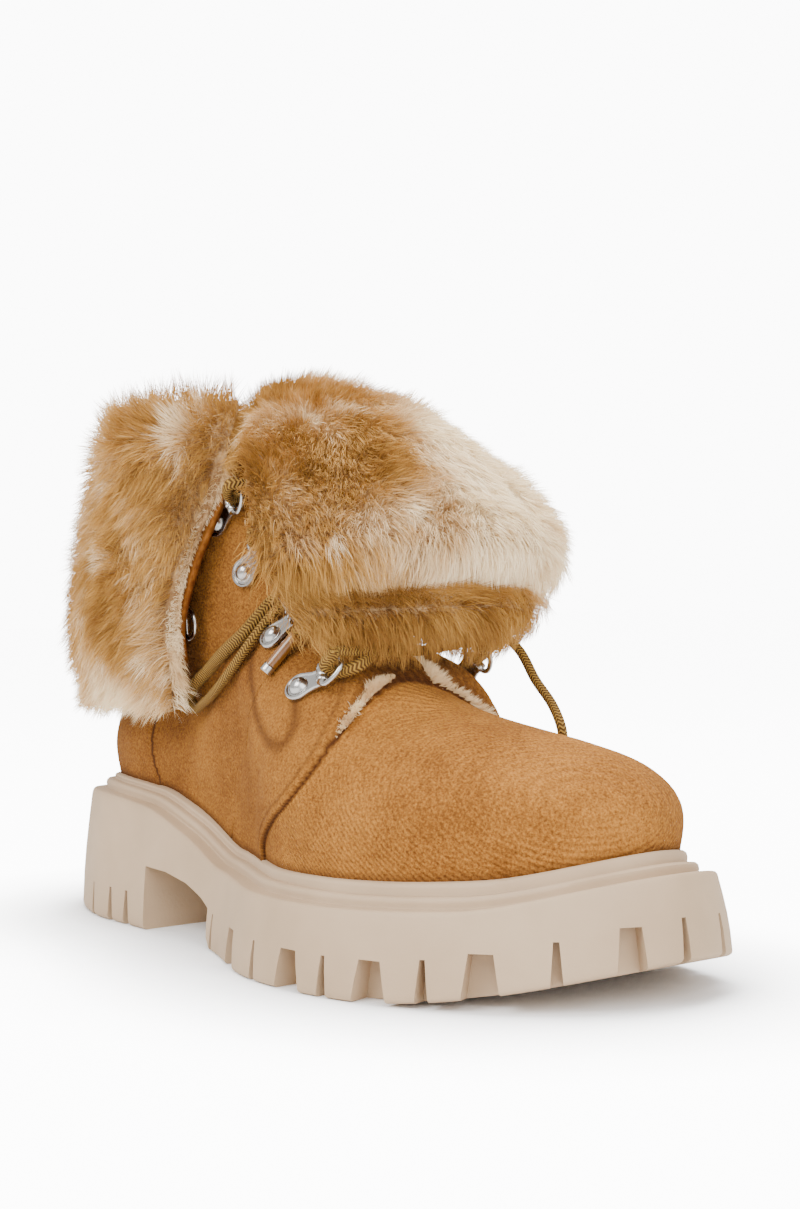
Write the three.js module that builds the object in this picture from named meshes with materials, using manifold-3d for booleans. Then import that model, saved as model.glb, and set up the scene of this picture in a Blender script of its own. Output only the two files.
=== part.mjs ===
// A right lace-up ankle boot of suede with a deep fur lining, on a moulded lug sole.
// The collar and the tongue are folded down, so that the lining shows as fur cuffs.
// Millimetres. +X points to the toe, +Y to the wearer's left (the inner side), +Z up.
// The origin is on the ground under the middle of the heel.

import * as THREE from 'three';
import { mergeVertices } from 'three/addons/utils/BufferGeometryUtils.js';
import Module from 'manifold-3d';

const wasm = await Module();
wasm.setup();

// Driving sizes of the sole
const soleLength = 282;
const ballWidth = 106;
const heelReach = 35.6;
const heelHeight = 42.5;
const toeSpring = 12.2;
const springStart = 175;
const rimInset = 4.7;
const ledgeWidth = 4.6;
const ribWidth = 3.1;
const heelBreast = 42;
const archEnd = 86;
const archHeight = 21;
const lugHeight = 11.5;

// Driving sizes of the upper
const wall = 2.6;
const quarterStep = 1.6;
const counterStep = 0.9;
const clearance = 0.3;
const featherInset = 13.9;
const foldHeight = 156;
const insoleThickness = 4;
const insoleEase = 0.8;
const cuffReach = 24;
const tongueThickness = 2.6;
const tongueFurDepth = 20;

// Driving sizes of the lace and its metal rings
const laceDiameter = 3.4;
const wireDiameter = 1.6;
const ringWidth = 11.4;
const ringReach = 9.2;
const plateWidth = 9.6;
const plateThickness = 1;
const barrelWidth = 6.8;
const barrelDistance = 8.4;
const barrelMiddle = barrelDistance + 0.4;
const rivetDiameter = 6.2;
const rivetHeight = 2.2;
const sleeveLength = 14;

// Number of facets round the outline and round the upper
const outlineSteps = 60;
const ringSteps = 22;
const innerSteps = 16;

// Ground outline of the sole, from the heel along the outer side to the toe and back:
// along is a share of the sole's length, across a share of the ball's width
const outlineRows = [
  { along: 0.0, across: 0.028 },
  { along: 0.028, across: -0.199 },
  { along: 0.133, across: -0.341 },
  { along: 0.266, across: -0.37 },
  { along: 0.432, across: -0.405 },
  { along: 0.603, across: -0.561 },
  { along: 0.747, across: -0.548 },
  { along: 0.877, across: -0.406 },
  { along: 0.969, across: -0.164 },
  { along: 1.0, across: 0.086 },
  { along: 0.961, across: 0.339 },
  { along: 0.86, across: 0.439 },
  { along: 0.714, across: 0.432 },
  { along: 0.534, across: 0.336 },
  { along: 0.338, across: 0.335 },
  { along: 0.197, across: 0.355 },
  { along: 0.079, across: 0.341 },
  { along: 0.011, across: 0.201 },
];

// Height of the outer rim: along as above, height a share of the heel's height
const rimRows = [
  { along: -0.02, height: 0.95 },
  { along: 0.126, height: 1.0 },
  { along: 0.25, height: 0.95 },
  { along: 0.346, height: 0.79 },
  { along: 0.445, height: 0.585 },
  { along: 0.552, height: 0.57 },
  { along: 0.694, height: 0.572 },
  { along: 0.853, height: 0.61 },
  { along: 1.0, height: 0.85 },
];

// The two ribs above the ledge: height over the rim in millimetres
const ribRows = [
  { along: 0.0, lower: 3.2, upper: 1.4 },
  { along: 0.35, lower: 3.1, upper: 2.2 },
  { along: 0.7, lower: 3.2, upper: 3.2 },
  { along: 1.0, lower: 3.8, upper: 4.2 },
];

// Top line of the vamp: height above the ground as a share of the fold's height
const vampRows = [
  { along: 0.1, height: 0.6 },
  { along: 0.34, height: 0.64 },
  { along: 0.42, height: 0.8 },
  { along: 0.5, height: 0.75 },
  { along: 0.58, height: 0.62 },
  { along: 0.64, height: 0.55 },
  { along: 0.71, height: 0.494 },
  { along: 0.78, height: 0.465 },
  { along: 0.85, height: 0.445 },
  { along: 0.905, height: 0.43 },
  { along: 0.96, height: 0.407 },
  { along: 1.0, height: 0.372 },
];

// Shaft by height: back and front as shares of the sole's length from the heel,
// half as a share of the ball's width
const shaftRows = [
  { height: 0.2, back: 0.09, front: 0.5, half: 0.16 },
  { height: 0.4, back: 0.08, front: 0.54, half: 0.19 },
  { height: 0.54, back: 0.07, front: 0.567, half: 0.225 },
  { height: 0.64, back: 0.074, front: 0.542, half: 0.243 },
  { height: 0.75, back: 0.085, front: 0.502, half: 0.252 },
  { height: 0.86, back: 0.1, front: 0.458, half: 0.262 },
  { height: 1.0, back: 0.106, front: 0.43, half: 0.272 },
];

// Monotone cubic through the rows of a table
function lookUp(rows, key, column, value) {
  const last = rows.length - 1;
  if (value <= rows[0][key]) return rows[0][column];
  if (value >= rows[last][key]) return rows[last][column];
  let i = 0;
  while (value > rows[i + 1][key]) i += 1;
  const slope = (k) => (rows[k + 1][column] - rows[k][column]) / (rows[k + 1][key] - rows[k][key]);
  const tangent = (k) => {
    if (k === 0) return slope(0);
    if (k === last) return slope(last - 1);
    const before = slope(k - 1);
    const after = slope(k);
    return before * after <= 0 ? 0 : (2 * before * after) / (before + after);
  };
  const span = rows[i + 1][key] - rows[i][key];
  const t = (value - rows[i][key]) / span;
  const t2 = t * t;
  const t3 = t2 * t;
  return (2 * t3 - 3 * t2 + 1) * rows[i][column] + (t3 - 2 * t2 + t) * span * tangent(i)
    + (3 * t2 - 2 * t3) * rows[i + 1][column] + (t3 - t2) * span * tangent(i + 1);
}

const shareAlong = (x) => (x + heelReach) / soleLength;
const xAt = (along) => along * soleLength - heelReach;
const rimHeight = (x) => heelHeight * lookUp(rimRows, 'along', 'height', shareAlong(x));
const ribLower = (x) => lookUp(ribRows, 'along', 'lower', shareAlong(x));
const ribUpper = (x) => lookUp(ribRows, 'along', 'upper', shareAlong(x));
const platformHeight = (x) => rimHeight(x) + ribLower(x) + ribUpper(x);

function groundHeight(x) {
  const reach = xAt(1) - springStart;
  const beyond = Math.max(0, x - springStart) / reach;
  return toeSpring * beyond * beyond;
}

// Solids and their booleans

function toSolid(geometry) {
  const bare = geometry.clone();
  for (const name of Object.keys(bare.attributes)) {
    if (name !== 'position') bare.deleteAttribute(name);
  }
  const merged = mergeVertices(bare, 1e-4);
  return new wasm.Manifold(new wasm.Mesh({
    numProp: 3,
    vertProperties: new Float32Array(merged.attributes.position.array),
    triVerts: new Uint32Array(merged.index.array),
  }));
}

function toGeometry(solid) {
  const mesh = solid.getMesh();
  const geometry = new THREE.BufferGeometry();
  geometry.setAttribute('position', new THREE.BufferAttribute(new Float32Array(mesh.vertProperties), 3));
  geometry.setIndex(new THREE.BufferAttribute(new Uint32Array(mesh.triVerts), 1));
  return geometry;
}

// A closed body through rings of equal length, each turning the same way round
function loft(rings) {
  const count = rings[0].length;
  const points = rings.flat();
  const faces = [];
  for (let i = 0; i < rings.length - 1; i += 1) {
    for (let j = 0; j < count; j += 1) {
      const a = i * count + j;
      const b = i * count + ((j + 1) % count);
      faces.push(a, b, b + count, a, b + count, a + count);
    }
  }
  const capEnd = (ring, start, flip) => {
    const half = count / 2;
    for (let j = 0; j < half; j += 1) {
      const a = start + j;
      const b = start + j + 1;
      const c = start + ((count - j - 1) % count);
      const d = start + ((count - j) % count);
      const quad = [[a, c, b], [a, d, c]];
      for (const [p, q, r] of quad) {
        if (p === q || q === r || p === r) continue;
        faces.push(...(flip ? [p, r, q] : [p, q, r]));
      }
    }
  };
  capEnd(rings[0], 0, false);
  capEnd(rings[rings.length - 1], (rings.length - 1) * count, true);
  const geometry = new THREE.BufferGeometry();
  const flat = new Float32Array(points.flatMap((p) => [p.x, p.y, p.z]));
  geometry.setAttribute('position', new THREE.BufferAttribute(flat, 3));
  geometry.setIndex(faces);
  const solid = toSolid(geometry);
  if (solid.volume() >= 0) return solid;
  const turned = [];
  for (let i = 0; i < faces.length; i += 3) turned.push(faces[i], faces[i + 2], faces[i + 1]);
  geometry.setIndex(turned);
  return toSolid(geometry);
}

// A prism with its outline in one plane, pushed along the plane's normal
function prism(points, depth, matrix) {
  const shape = new THREE.Shape(points.map(([u, v]) => new THREE.Vector2(u, v)));
  const geometry = new THREE.ExtrudeGeometry(shape, { depth, bevelEnabled: false, curveSegments: 4 });
  geometry.applyMatrix4(matrix);
  return toSolid(geometry);
}

// Turns a prism's outline (u, v) into (x, z), pushed along Y from the given place
function sideways(from) {
  const matrix = new THREE.Matrix4();
  matrix.makeBasis(new THREE.Vector3(1, 0, 0), new THREE.Vector3(0, 0, 1), new THREE.Vector3(0, -1, 0));
  matrix.setPosition(0, from, 0);
  return matrix;
}

// Sole

const outlineCurve = new THREE.CatmullRomCurve3(
  outlineRows.map((row) => new THREE.Vector3(xAt(row.along), row.across * ballWidth, 0)),
  true,
  'centripetal',
);
const outline = outlineCurve.getSpacedPoints(outlineSteps).slice(0, outlineSteps);

function insetOutline(distance) {
  return outline.map((p, i) => {
    const before = outline[(i + outlineSteps - 1) % outlineSteps];
    const after = outline[(i + 1) % outlineSteps];
    const along = after.clone().sub(before).normalize();
    return new THREE.Vector3(p.x - along.y * distance, p.y + along.x * distance, 0);
  });
}

// Side of the sole from the ground up: share is the way from the ground to the rim
const sideRows = [
  { inset: 0.9, share: 0 },
  { inset: 0, share: 0.04 },
  { inset: 0.86 * rimInset, share: 0.95 },
  { inset: rimInset + 0.7, share: 1 },
];

function makeSoleBody() {
  const rings = sideRows.map((row) => insetOutline(row.inset).map((p) => {
    const ground = groundHeight(p.x);
    return new THREE.Vector3(p.x, p.y, ground + (rimHeight(p.x) - ground) * row.share);
  }));
  const ribA = rimInset + ledgeWidth;
  const ribB = ribA + ribWidth;
  const steps = [
    { inset: ribA - 0.4, lower: 0.05, upper: 0 },
    { inset: ribA, lower: 0.8, upper: 0 },
    { inset: ribA + 0.9, lower: 1, upper: 0 },
    { inset: ribB - 0.3, lower: 1, upper: 0.05 },
    { inset: ribB, lower: 1, upper: 0.8 },
    { inset: ribB + 0.8, lower: 1, upper: 1 },
  ];
  for (const step of steps) {
    rings.push(insetOutline(step.inset).map((p) => new THREE.Vector3(
      p.x,
      p.y,
      rimHeight(p.x) + ribLower(p.x) * step.lower + ribUpper(p.x) * step.upper,
    )));
  }
  return loft(rings);
}

// The room of the sole under its platform's height, with the clearance on top
function makeSoleRoom() {
  const ribEnd = rimInset + ledgeWidth + ribWidth + 0.8;
  const ringAt = (inset, heightAt) => insetOutline(inset).map(
    (p) => new THREE.Vector3(p.x, p.y, heightAt(p.x)),
  );
  return loft([
    ringAt(0, () => -heelHeight),
    ringAt(0, (x) => platformHeight(x) + clearance),
    ringAt(ribEnd, (x) => platformHeight(x) + clearance),
  ]);
}

// Notches in the tread: place is the way round the outline as a share of its length,
// wide ones show as open mouths between the lugs and narrow ones as slits
const notchRows = [
  { place: 0.051, half: 1.3, depth: 5 },
  { place: 0.0915, half: 1.4, depth: 5 },
  { place: 0.113, half: 1.9, depth: 5 },
  { place: 0.1315, half: 2.1, depth: 5 },
  { place: 0.222, half: 1.2, depth: 5 },
  { place: 0.264, half: 5.2, depth: 8 },
  { place: 0.2985, half: 1.5, depth: 6 },
  { place: 0.3245, half: 5.4, depth: 8 },
  { place: 0.347, half: 1.9, depth: 6 },
  { place: 0.3735, half: 5.6, depth: 8 },
  { place: 0.398, half: 2.2, depth: 6 },
  { place: 0.4225, half: 5.6, depth: 8 },
  { place: 0.4525, half: 2.3, depth: 6 },
  { place: 0.482, half: 5, depth: 7 },
  { place: 0.509, half: 2.1, depth: 6 },
  { place: 0.535, half: 2.2, depth: 6 },
  { place: 0.562, half: 5, depth: 7 },
  { place: 0.59, half: 2.2, depth: 6 },
  { place: 0.617, half: 5.4, depth: 8 },
  { place: 0.643, half: 2, depth: 6 },
  { place: 0.669, half: 5.4, depth: 8 },
  { place: 0.696, half: 1.9, depth: 6 },
  { place: 0.723, half: 5.2, depth: 8 },
  { place: 0.749, half: 1.4, depth: 5 },
  { place: 0.873, half: 2, depth: 5 },
  { place: 0.895, half: 1.9, depth: 5 },
  { place: 0.918, half: 1.5, depth: 5 },
  { place: 0.957, half: 1.3, depth: 5 },
];

function makeNotch(row) {
  const point = outlineCurve.getPointAt(row.place);
  const along = outlineCurve.getTangentAt(row.place);
  const inward = new THREE.Vector3(-along.y, along.x, 0);
  const ground = groundHeight(point.x);
  const roof = row.half * (row.half > 3 ? 0.62 : 0.35);
  const outside = 4;
  const matrix = new THREE.Matrix4().makeBasis(along, new THREE.Vector3(0, 0, 1), inward.clone().negate());
  const start = point.clone().addScaledVector(inward, row.depth);
  matrix.setPosition(start.x, start.y, 0);
  return prism([
    [-row.half * 1.15, -3],
    [row.half * 1.15, -3],
    [roof, ground + lugHeight],
    [-roof, ground + lugHeight],
  ], row.depth + outside, matrix);
}

// Cross grooves under the forefoot and the heel: at is their place along the sole
const grooveRows = [
  { at: 0.045, half: 13 },
  { at: 0.21, half: 20 },
  { at: 0.5, half: 22 },
  { at: 0.565, half: 30 },
  { at: 0.63, half: 34 },
  { at: 0.695, half: 35 },
  { at: 0.76, half: 33 },
  { at: 0.825, half: 28 },
];
const grooveWidth = 6;
const grooveDepth = 4;

function makeSole() {
  let sole = makeSoleBody();
  const archShape = [
    [heelBreast, -1],
    [heelBreast, archHeight],
    [heelBreast + 0.3 * (archEnd - heelBreast), archHeight * 0.975],
    [heelBreast + 0.6 * (archEnd - heelBreast), archHeight * 0.875],
    [heelBreast + 0.85 * (archEnd - heelBreast), archHeight * 0.72],
    [archEnd - 0.5, archHeight * 0.6],
    [archEnd, archHeight * 0.18],
    [archEnd + 4.5, -1],
  ];
  sole = sole.subtract(prism(archShape, 2 * ballWidth, sideways(ballWidth)));
  for (const row of notchRows) {
    sole = sole.subtract(makeNotch(row));
  }
  for (const row of grooveRows) {
    const x = xAt(row.at);
    const box = new THREE.BoxGeometry(grooveWidth, 2 * row.half, 2 * (grooveDepth + groundHeight(x)));
    box.translate(x, row.at > 0.4 ? -4 : 0, 0);
    sole = sole.subtract(toSolid(box));
  }
  return sole;
}

// Upper

const feather = insetOutline(featherInset);

// Way from a point to the feather line in plan, more than zero inside it
function insideFeather(x, y) {
  let nearest = Infinity;
  let inside = false;
  for (let i = 0; i < outlineSteps; i += 1) {
    const a = feather[i];
    const b = feather[(i + 1) % outlineSteps];
    const dx = b.x - a.x;
    const dy = b.y - a.y;
    const t = Math.min(1, Math.max(0, ((x - a.x) * dx + (y - a.y) * dy) / (dx * dx + dy * dy)));
    nearest = Math.min(nearest, Math.hypot(x - a.x - t * dx, y - a.y - t * dy));
    if ((a.y > y) !== (b.y > y) && x < a.x + ((y - a.y) / (b.y - a.y)) * dx) inside = !inside;
  }
  return inside ? nearest : -nearest;
}

// Fullness of the foot's sections: a low power gives a ridge, a high one a boxy toe
const fullnessRows = [
  { along: 0.45, power: 1.85 },
  { along: 0.62, power: 1.95 },
  { along: 0.75, power: 2.2 },
  { along: 0.9, power: 2.5 },
];

const sideRound = 40;
const topShare = 0.86;
const topRoundLimit = 44;
const shaftPower = 2.5;
const sideBulge = 2.4;
const bulgeHeight = 22;
const blend = 0.1;
const bottomMargin = 9;

const smoothMin = (a, b, k) => {
  const h = Math.max(k - Math.abs(a - b), 0) / k;
  return Math.min(a, b) - h * h * k * 0.25;
};
const vampHeight = (x) => foldHeight * lookUp(vampRows, 'along', 'height', shareAlong(x));
const shaftAt = (z) => {
  const share = z / foldHeight;
  const back = xAt(lookUp(shaftRows, 'height', 'back', share));
  const front = xAt(lookUp(shaftRows, 'height', 'front', share));
  return {
    centre: (back + front) / 2,
    depth: (front - back) / 2,
    half: ballWidth * lookUp(shaftRows, 'height', 'half', share),
  };
};

function shaftField(x, y, z, grow) {
  const s = shaftAt(z);
  const u = Math.abs(x - s.centre) / (s.depth + grow);
  const v = Math.abs(y) / (s.half + grow);
  return (u ** shaftPower + v ** shaftPower) ** (1 / shaftPower) - 1;
}

// Below zero inside the boot's form grown outwards by the given amount
function formField(x, y, z, grow) {
  const rise = Math.min(1, Math.max(0, (z - platformHeight(x)) / bulgeHeight));
  const tuck = (quarterStep + counterStep) * THREE.MathUtils.smoothstep(-x, -xAt(0.6), -xAt(0.2));
  const bulge = sideBulge * Math.sin((rise * Math.PI) / 2) - tuck;
  const footPower = lookUp(fullnessRows, 'along', 'power', shareAlong(x));
  const side = Math.max(0, 1 - (insideFeather(x, y) + bulge + grow) / (sideRound + grow));
  const topRound = Math.min(topRoundLimit, topShare * (vampHeight(x) - platformHeight(x))) + grow;
  const top = Math.max(0, 1 - (vampHeight(x) + grow - z) / topRound);
  const foot = (side ** footPower + top ** footPower) ** (1 / footPower) - 1;
  return smoothMin(foot, shaftField(x, y, z, grow), blend);
}

function castRay(field, origin, direction, reach) {
  let near = 0;
  let far = reach;
  for (let i = 0; i < 26; i += 1) {
    const mid = (near + far) / 2;
    const p = origin.clone().addScaledVector(direction, mid);
    if (field(p.x, p.y, p.z) < 0) near = mid;
    else far = mid;
  }
  return origin.clone().addScaledVector(direction, (near + far) / 2);
}

const fanPivot = { x: xAt(0.612), z: 0.756 * foldHeight };
const fanReach = { toe: 0.22 * soleLength, heel: 0.312 * soleLength };
const toeStations = [0.9, 0.865, 0.825, 0.78, 0.725, 0.665];
const noseTilts = [1.4, 1.15, 0.9, 0.65, 0.4, 0.18];
const fanSteps = 9;
const shaftStations = [0.84, 0.92, 1];

// Centres and up directions of the sections from the toe round the heel to the collar
function makeStations(topRise) {
  const stations = toeStations.map((along) => {
    const x = xAt(along);
    const z = (platformHeight(x) + vampHeight(x)) / 2 - 3;
    const y = 0.06 * ballWidth * Math.max(0, (along - 0.8) / 0.14);
    return { origin: new THREE.Vector3(x, y, z), up: new THREE.Vector3(0, 0, 1), tall: 22, broad: 34 };
  });
  for (let i = 0; i <= fanSteps; i += 1) {
    const turn = (Math.PI / 2) * (i / fanSteps);
    const reach = fanReach.toe + (fanReach.heel - fanReach.toe) * (i / fanSteps);
    stations.push({
      origin: new THREE.Vector3(fanPivot.x - reach * Math.sin(turn), 0, fanPivot.z - reach * Math.cos(turn)),
      up: new THREE.Vector3(Math.sin(turn), 0, Math.cos(turn)),
      tall: 26 + 34 * (i / fanSteps),
      broad: 34,
    });
  }
  for (const share of shaftStations) {
    const z = foldHeight * share + (share === 1 ? topRise : 0);
    stations.push({
      origin: new THREE.Vector3(shaftAt(z).centre, 0, z),
      up: new THREE.Vector3(1, 0, 0),
      tall: 55,
      broad: 34,
    });
  }
  return stations;
}

// The quarters lie on the vamp and stand off it round the corner of the eyestay, where the
// fleece shows between them: more on the inner side than on the outer one
const eyestayCorner = { x: xAt(0.626), z: 0.564 * foldHeight, reach: 20, outerLift: 3, innerLift: 8.5 };
function quarterGrow(x, y, z) {
  const away = Math.hypot(x - eyestayCorner.x, z - eyestayCorner.z) / eyestayCorner.reach;
  const inner = THREE.MathUtils.smoothstep(y, -10, 22);
  const lift = eyestayCorner.outerLift + (eyestayCorner.innerLift - eyestayCorner.outerLift) * inner;
  return quarterStep + lift * Math.exp(-away * away);
}

function makeForm(grow, margin, topRise, steps) {
  const field = (x, y, z) => Math.max(
    formField(x, y, z, typeof grow === 'function' ? grow(x, y, z) : grow),
    (platformHeight(x) - margin - z) / sideRound,
  );
  const castRing = (station, tilt) => {
    const ring = [];
    for (let j = 0; j < steps; j += 1) {
      const angle = (2 * Math.PI * j) / steps;
      const direction = station.up.clone().multiplyScalar(station.tall * Math.cos(angle));
      direction.y += station.broad * Math.sin(angle);
      direction.normalize().multiplyScalar(Math.cos(tilt));
      direction.x += Math.sin(tilt);
      ring.push(castRay(field, station.origin, direction, 140));
    }
    return ring;
  };
  const stations = makeStations(topRise);
  const nose = noseTilts.map((tilt) => castRing(stations[0], tilt));
  return loft([...nose, ...stations.map((station) => castRing(station, 0))]);
}

const outer = makeForm(0, bottomMargin, 0, ringSteps);
const raised = makeForm(quarterGrow, bottomMargin, 0, ringSteps);
const counterForm = makeForm(quarterStep + counterStep, bottomMargin, 0, ringSteps);
const inner = makeForm(-wall, bottomMargin + 8, 6, innerSteps);

// Front edge of the quarters in side view, with the rounded corner of the eyestay
const quarterEdge = [
  { along: 0.5234, height: 0.1282 },
  { along: 0.527, height: 0.2115 },
  { along: 0.5872, height: 0.2821 },
  { along: 0.6227, height: 0.3205 },
  { along: 0.6475, height: 0.3718 },
  { along: 0.6617, height: 0.4231 },
  { along: 0.6635, height: 0.4679 },
  { along: 0.6582, height: 0.5128 },
  { along: 0.6475, height: 0.5449 },
  { along: 0.6333, height: 0.5705 },
  { along: 0.6121, height: 0.5929 },
  { along: 0.5872, height: 0.6122 },
];
const facingEdge = [
  { along: 0.5553, height: 0.6378 },
  { along: 0.5163, height: 0.6859 },
  { along: 0.4773, height: 0.75 },
  { along: 0.4383, height: 0.8462 },
  { along: 0.4064, height: 0.9359 },
  { along: 0.3957, height: 1 },
];
const throatBase = { along: 0.58, height: 0.622 };
const regionTop = 1.5 * foldHeight;
const regionBack = -2 * heelReach;
const regionBottom = 0.5 * heelHeight;
const sidePoint = (row) => [xAt(row.along), row.height * foldHeight];
const counterEdge = [
  { along: 0.2397, height: 0.1282 },
  { along: 0.2326, height: 0.2949 },
  { along: 0.222, height: 0.359 },
  { along: 0.2184, height: 0.4231 },
  { along: 0.222, height: 0.5769 },
];

// The folded flap of the shaft: a closed strip by height and by how far it stands off the
// shaft, with the angle at which it starts either side of the front
const flapRows = [
  { height: 0.962, grow: -0.1, open: 31 },
  { height: 1, grow: -0.104, open: 31 },
  { height: 1.024, grow: -0.03, open: 31 },
  { height: 1.029, grow: 0.09, open: 31 },
  { height: 1.01, grow: 0.22, open: 33 },
  { height: 0.885, grow: 0.317, open: 41 },
  { height: 0.756, grow: 0.408, open: 51 },
  { height: 0.641, grow: 0.45, open: 60 },
  { height: 0.558, grow: 0.425, open: 64 },
  { height: 0.558, grow: 0.342, open: 64 },
  { height: 0.641, grow: 0.362, open: 60 },
  { height: 0.756, grow: 0.321, open: 51 },
  { height: 0.885, grow: 0.229, open: 41 },
  { height: 0.99, grow: 0.13, open: 33 },
  { height: 0.998, grow: 0.05, open: 31 },
  { height: 0.962, grow: 0.05, open: 31 },
];

// The fur over the flap, over the fold and down the inside of the shaft
const furRows = [
  { height: 0.808, grow: -0.185, open: 52 },
  { height: 1, grow: -0.175, open: 50 },
  { height: 1.038, grow: -0.075, open: 40 },
  { height: 1.048, grow: 0.1, open: 34 },
  { height: 1.026, grow: 0.27, open: 34 },
  { height: 0.885, grow: 0.38, open: 42 },
  { height: 0.756, grow: 0.472, open: 52 },
  { height: 0.641, grow: 0.518, open: 61 },
  { height: 0.538, grow: 0.49, open: 66 },
  { height: 0.481, grow: 0.47, open: 68 },
  { height: 0.445, grow: 0.55, open: 67 },
  { height: 0.481, grow: 0.75, open: 67 },
  { height: 0.615, grow: 0.896, open: 64 },
  { height: 0.744, grow: 0.875, open: 55 },
  { height: 0.872, grow: 0.771, open: 45 },
  { height: 0.994, grow: 0.646, open: 37 },
  { height: 1.09, grow: 0.479, open: 36 },
  { height: 1.147, grow: 0.167, open: 37 },
  { height: 1.141, grow: -0.2, open: 42 },
  { height: 1.051, grow: -0.417, open: 50 },
  { height: 0.833, grow: -0.36, open: 56 },
];
const bandSteps = 20;
const degree = Math.PI / 180;

// Point of the shaft's form at a height and an angle from the front, grown outwards
function shaftPoint(height, angle, grow) {
  const s = shaftAt(Math.min(height, foldHeight));
  const c = Math.abs(Math.cos(angle)) / s.depth;
  const w = Math.abs(Math.sin(angle)) / s.half;
  const reach = (c ** shaftPower + w ** shaftPower) ** (-1 / shaftPower);
  const x = s.centre + reach * Math.cos(angle);
  const y = reach * Math.sin(angle);
  const step = 0.02;
  const slope = (dx, dy) => shaftField(x + dx, y + dy, Math.min(height, foldHeight), 0);
  const normal = new THREE.Vector3(slope(step, 0) - slope(-step, 0), slope(0, step) - slope(0, -step), 0);
  normal.normalize().multiplyScalar(grow);
  return new THREE.Vector3(x, y, height).add(normal);
}

// A strip round the shaft that stays open at the front
function makeBand(rows) {
  const rings = [];
  for (let i = 0; i <= bandSteps; i += 1) {
    rings.push(rows.map((row) => {
      const start = row.open * degree;
      const angle = start + (2 * Math.PI - 2 * start) * (i / bandSteps);
      return shaftPoint(row.height * foldHeight, angle, row.grow * cuffReach);
    }));
  }
  return loft(rings);
}

function makeUpper() {
  const across = sideways(ballWidth);
  const facing = facingEdge.map(sidePoint);
  const counter = counterEdge.map(sidePoint);
  const base = sidePoint(throatBase);
  const lastX = facing[facing.length - 1][0];
  const counterTop = counter[counter.length - 1][1];
  const quarterRegion = prism([
    [regionBack, regionBottom],
    ...quarterEdge.map(sidePoint),
    ...facing,
    [lastX, regionTop],
    [regionBack, regionTop],
  ], 2 * ballWidth, across);
  const counterRegion = prism(
    [[regionBack, regionBottom], ...counter, [regionBack, counterTop]],
    2 * ballWidth,
    across,
  );
  const throat = prism(
    [[soleLength, base[1]], base, ...facing, [lastX, regionTop], [soleLength, regionTop]],
    2 * ballWidth,
    across,
  );
  let upper = outer.add(raised.intersect(quarterRegion)).add(counterForm.intersect(counterRegion));
  upper = upper.subtract(inner).subtract(throat);
  upper = upper.subtract(makeSoleRoom());
  return upper.add(makeBand(flapRows));
}

// Insole

function makeInsole() {
  const broad = insetOutline(featherInset - 2);
  const layer = loft([0, insoleThickness].map((rise) => broad.map((p) => new THREE.Vector3(
    p.x,
    p.y,
    platformHeight(p.x) + clearance + rise,
  ))));
  const room = makeForm(-wall - insoleEase, bottomMargin, 0, innerSteps);
  return layer.intersect(room);
}

// Tongue: a strip behind the facings that folds forward over the instep.
// x and z are its middle line, half its half width, sag how far its edges bend back
const tongueRows = [
  { along: 0.534, height: 0.5577, half: 0.132, sag: 0.047 },
  { along: 0.4986, height: 0.6218, half: 0.16, sag: 0.071 },
  { along: 0.4631, height: 0.6987, half: 0.175, sag: 0.08 },
  { along: 0.4277, height: 0.7885, half: 0.179, sag: 0.08 },
  { along: 0.4064, height: 0.8846, half: 0.189, sag: 0.066 },
  { along: 0.3957, height: 0.9615, half: 0.17, sag: 0.038 },
  { along: 0.3993, height: 1.0128, half: 0.17, sag: 0.024 },
  { along: 0.4206, height: 1.0481, half: 0.198, sag: 0.019 },
  { along: 0.4525, height: 1.0545, half: 0.226, sag: 0.019 },
  { along: 0.495, height: 1.0256, half: 0.292, sag: 0.028 },
  { along: 0.5518, height: 0.9615, half: 0.358, sag: 0.038 },
  { along: 0.6014, height: 0.8526, half: 0.396, sag: 0.047 },
  { along: 0.6262, height: 0.75, half: 0.396, sag: 0.057 },
  { along: 0.6369, height: 0.6731, half: 0.358, sag: 0.066 },
];

// The fur on the tongue: rise is its depth over the tongue's middle line, spread its half width
const tongueFurRows = [
  { along: 0.4241, height: 0.7885, rise: 0.25, half: 0.142, sag: 0.047 },
  { along: 0.4028, height: 0.8718, rise: 0.4, half: 0.16, sag: 0.047 },
  { along: 0.3929, height: 0.9487, rise: 0.45, half: 0.17, sag: 0.038 },
  { along: 0.3957, height: 1.0096, rise: 0.45, half: 0.189, sag: 0.028 },
  { along: 0.417, height: 1.0513, rise: 0.5, half: 0.217, sag: 0.019 },
  { along: 0.4525, height: 1.0641, rise: 0.55, half: 0.264, sag: 0.019 },
  { along: 0.495, height: 1.0385, rise: 0.65, half: 0.358, sag: 0.028 },
  { along: 0.5518, height: 0.9744, rise: 0.85, half: 0.509, sag: 0.047 },
  { along: 0.6014, height: 0.8654, rise: 1, half: 0.585, sag: 0.057 },
  { along: 0.628, height: 0.75, rise: 1, half: 0.594, sag: 0.066 },
  { along: 0.6326, height: 0.7115, rise: 0.55, half: 0.566, sag: 0.066 },
  { along: 0.6369, height: 0.6795, rise: 0.7, half: 0.528, sag: 0.075 },
  { along: 0.6422, height: 0.6378, rise: 0.55, half: 0.462, sag: 0.075 },
  { along: 0.644, height: 0.6218, rise: 0.25, half: 0.406, sag: 0.075 },
];
const stripSteps = 6;

// Outward normals of a middle line in side view, on the side of the fur
function sideNormals(points) {
  return points.map((point, i) => {
    const before = points[Math.max(0, i - 1)];
    const after = points[Math.min(points.length - 1, i + 1)];
    const along = new THREE.Vector2(after[0] - before[0], after[1] - before[1]).normalize();
    return new THREE.Vector2(-along.y, along.x);
  });
}

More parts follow.
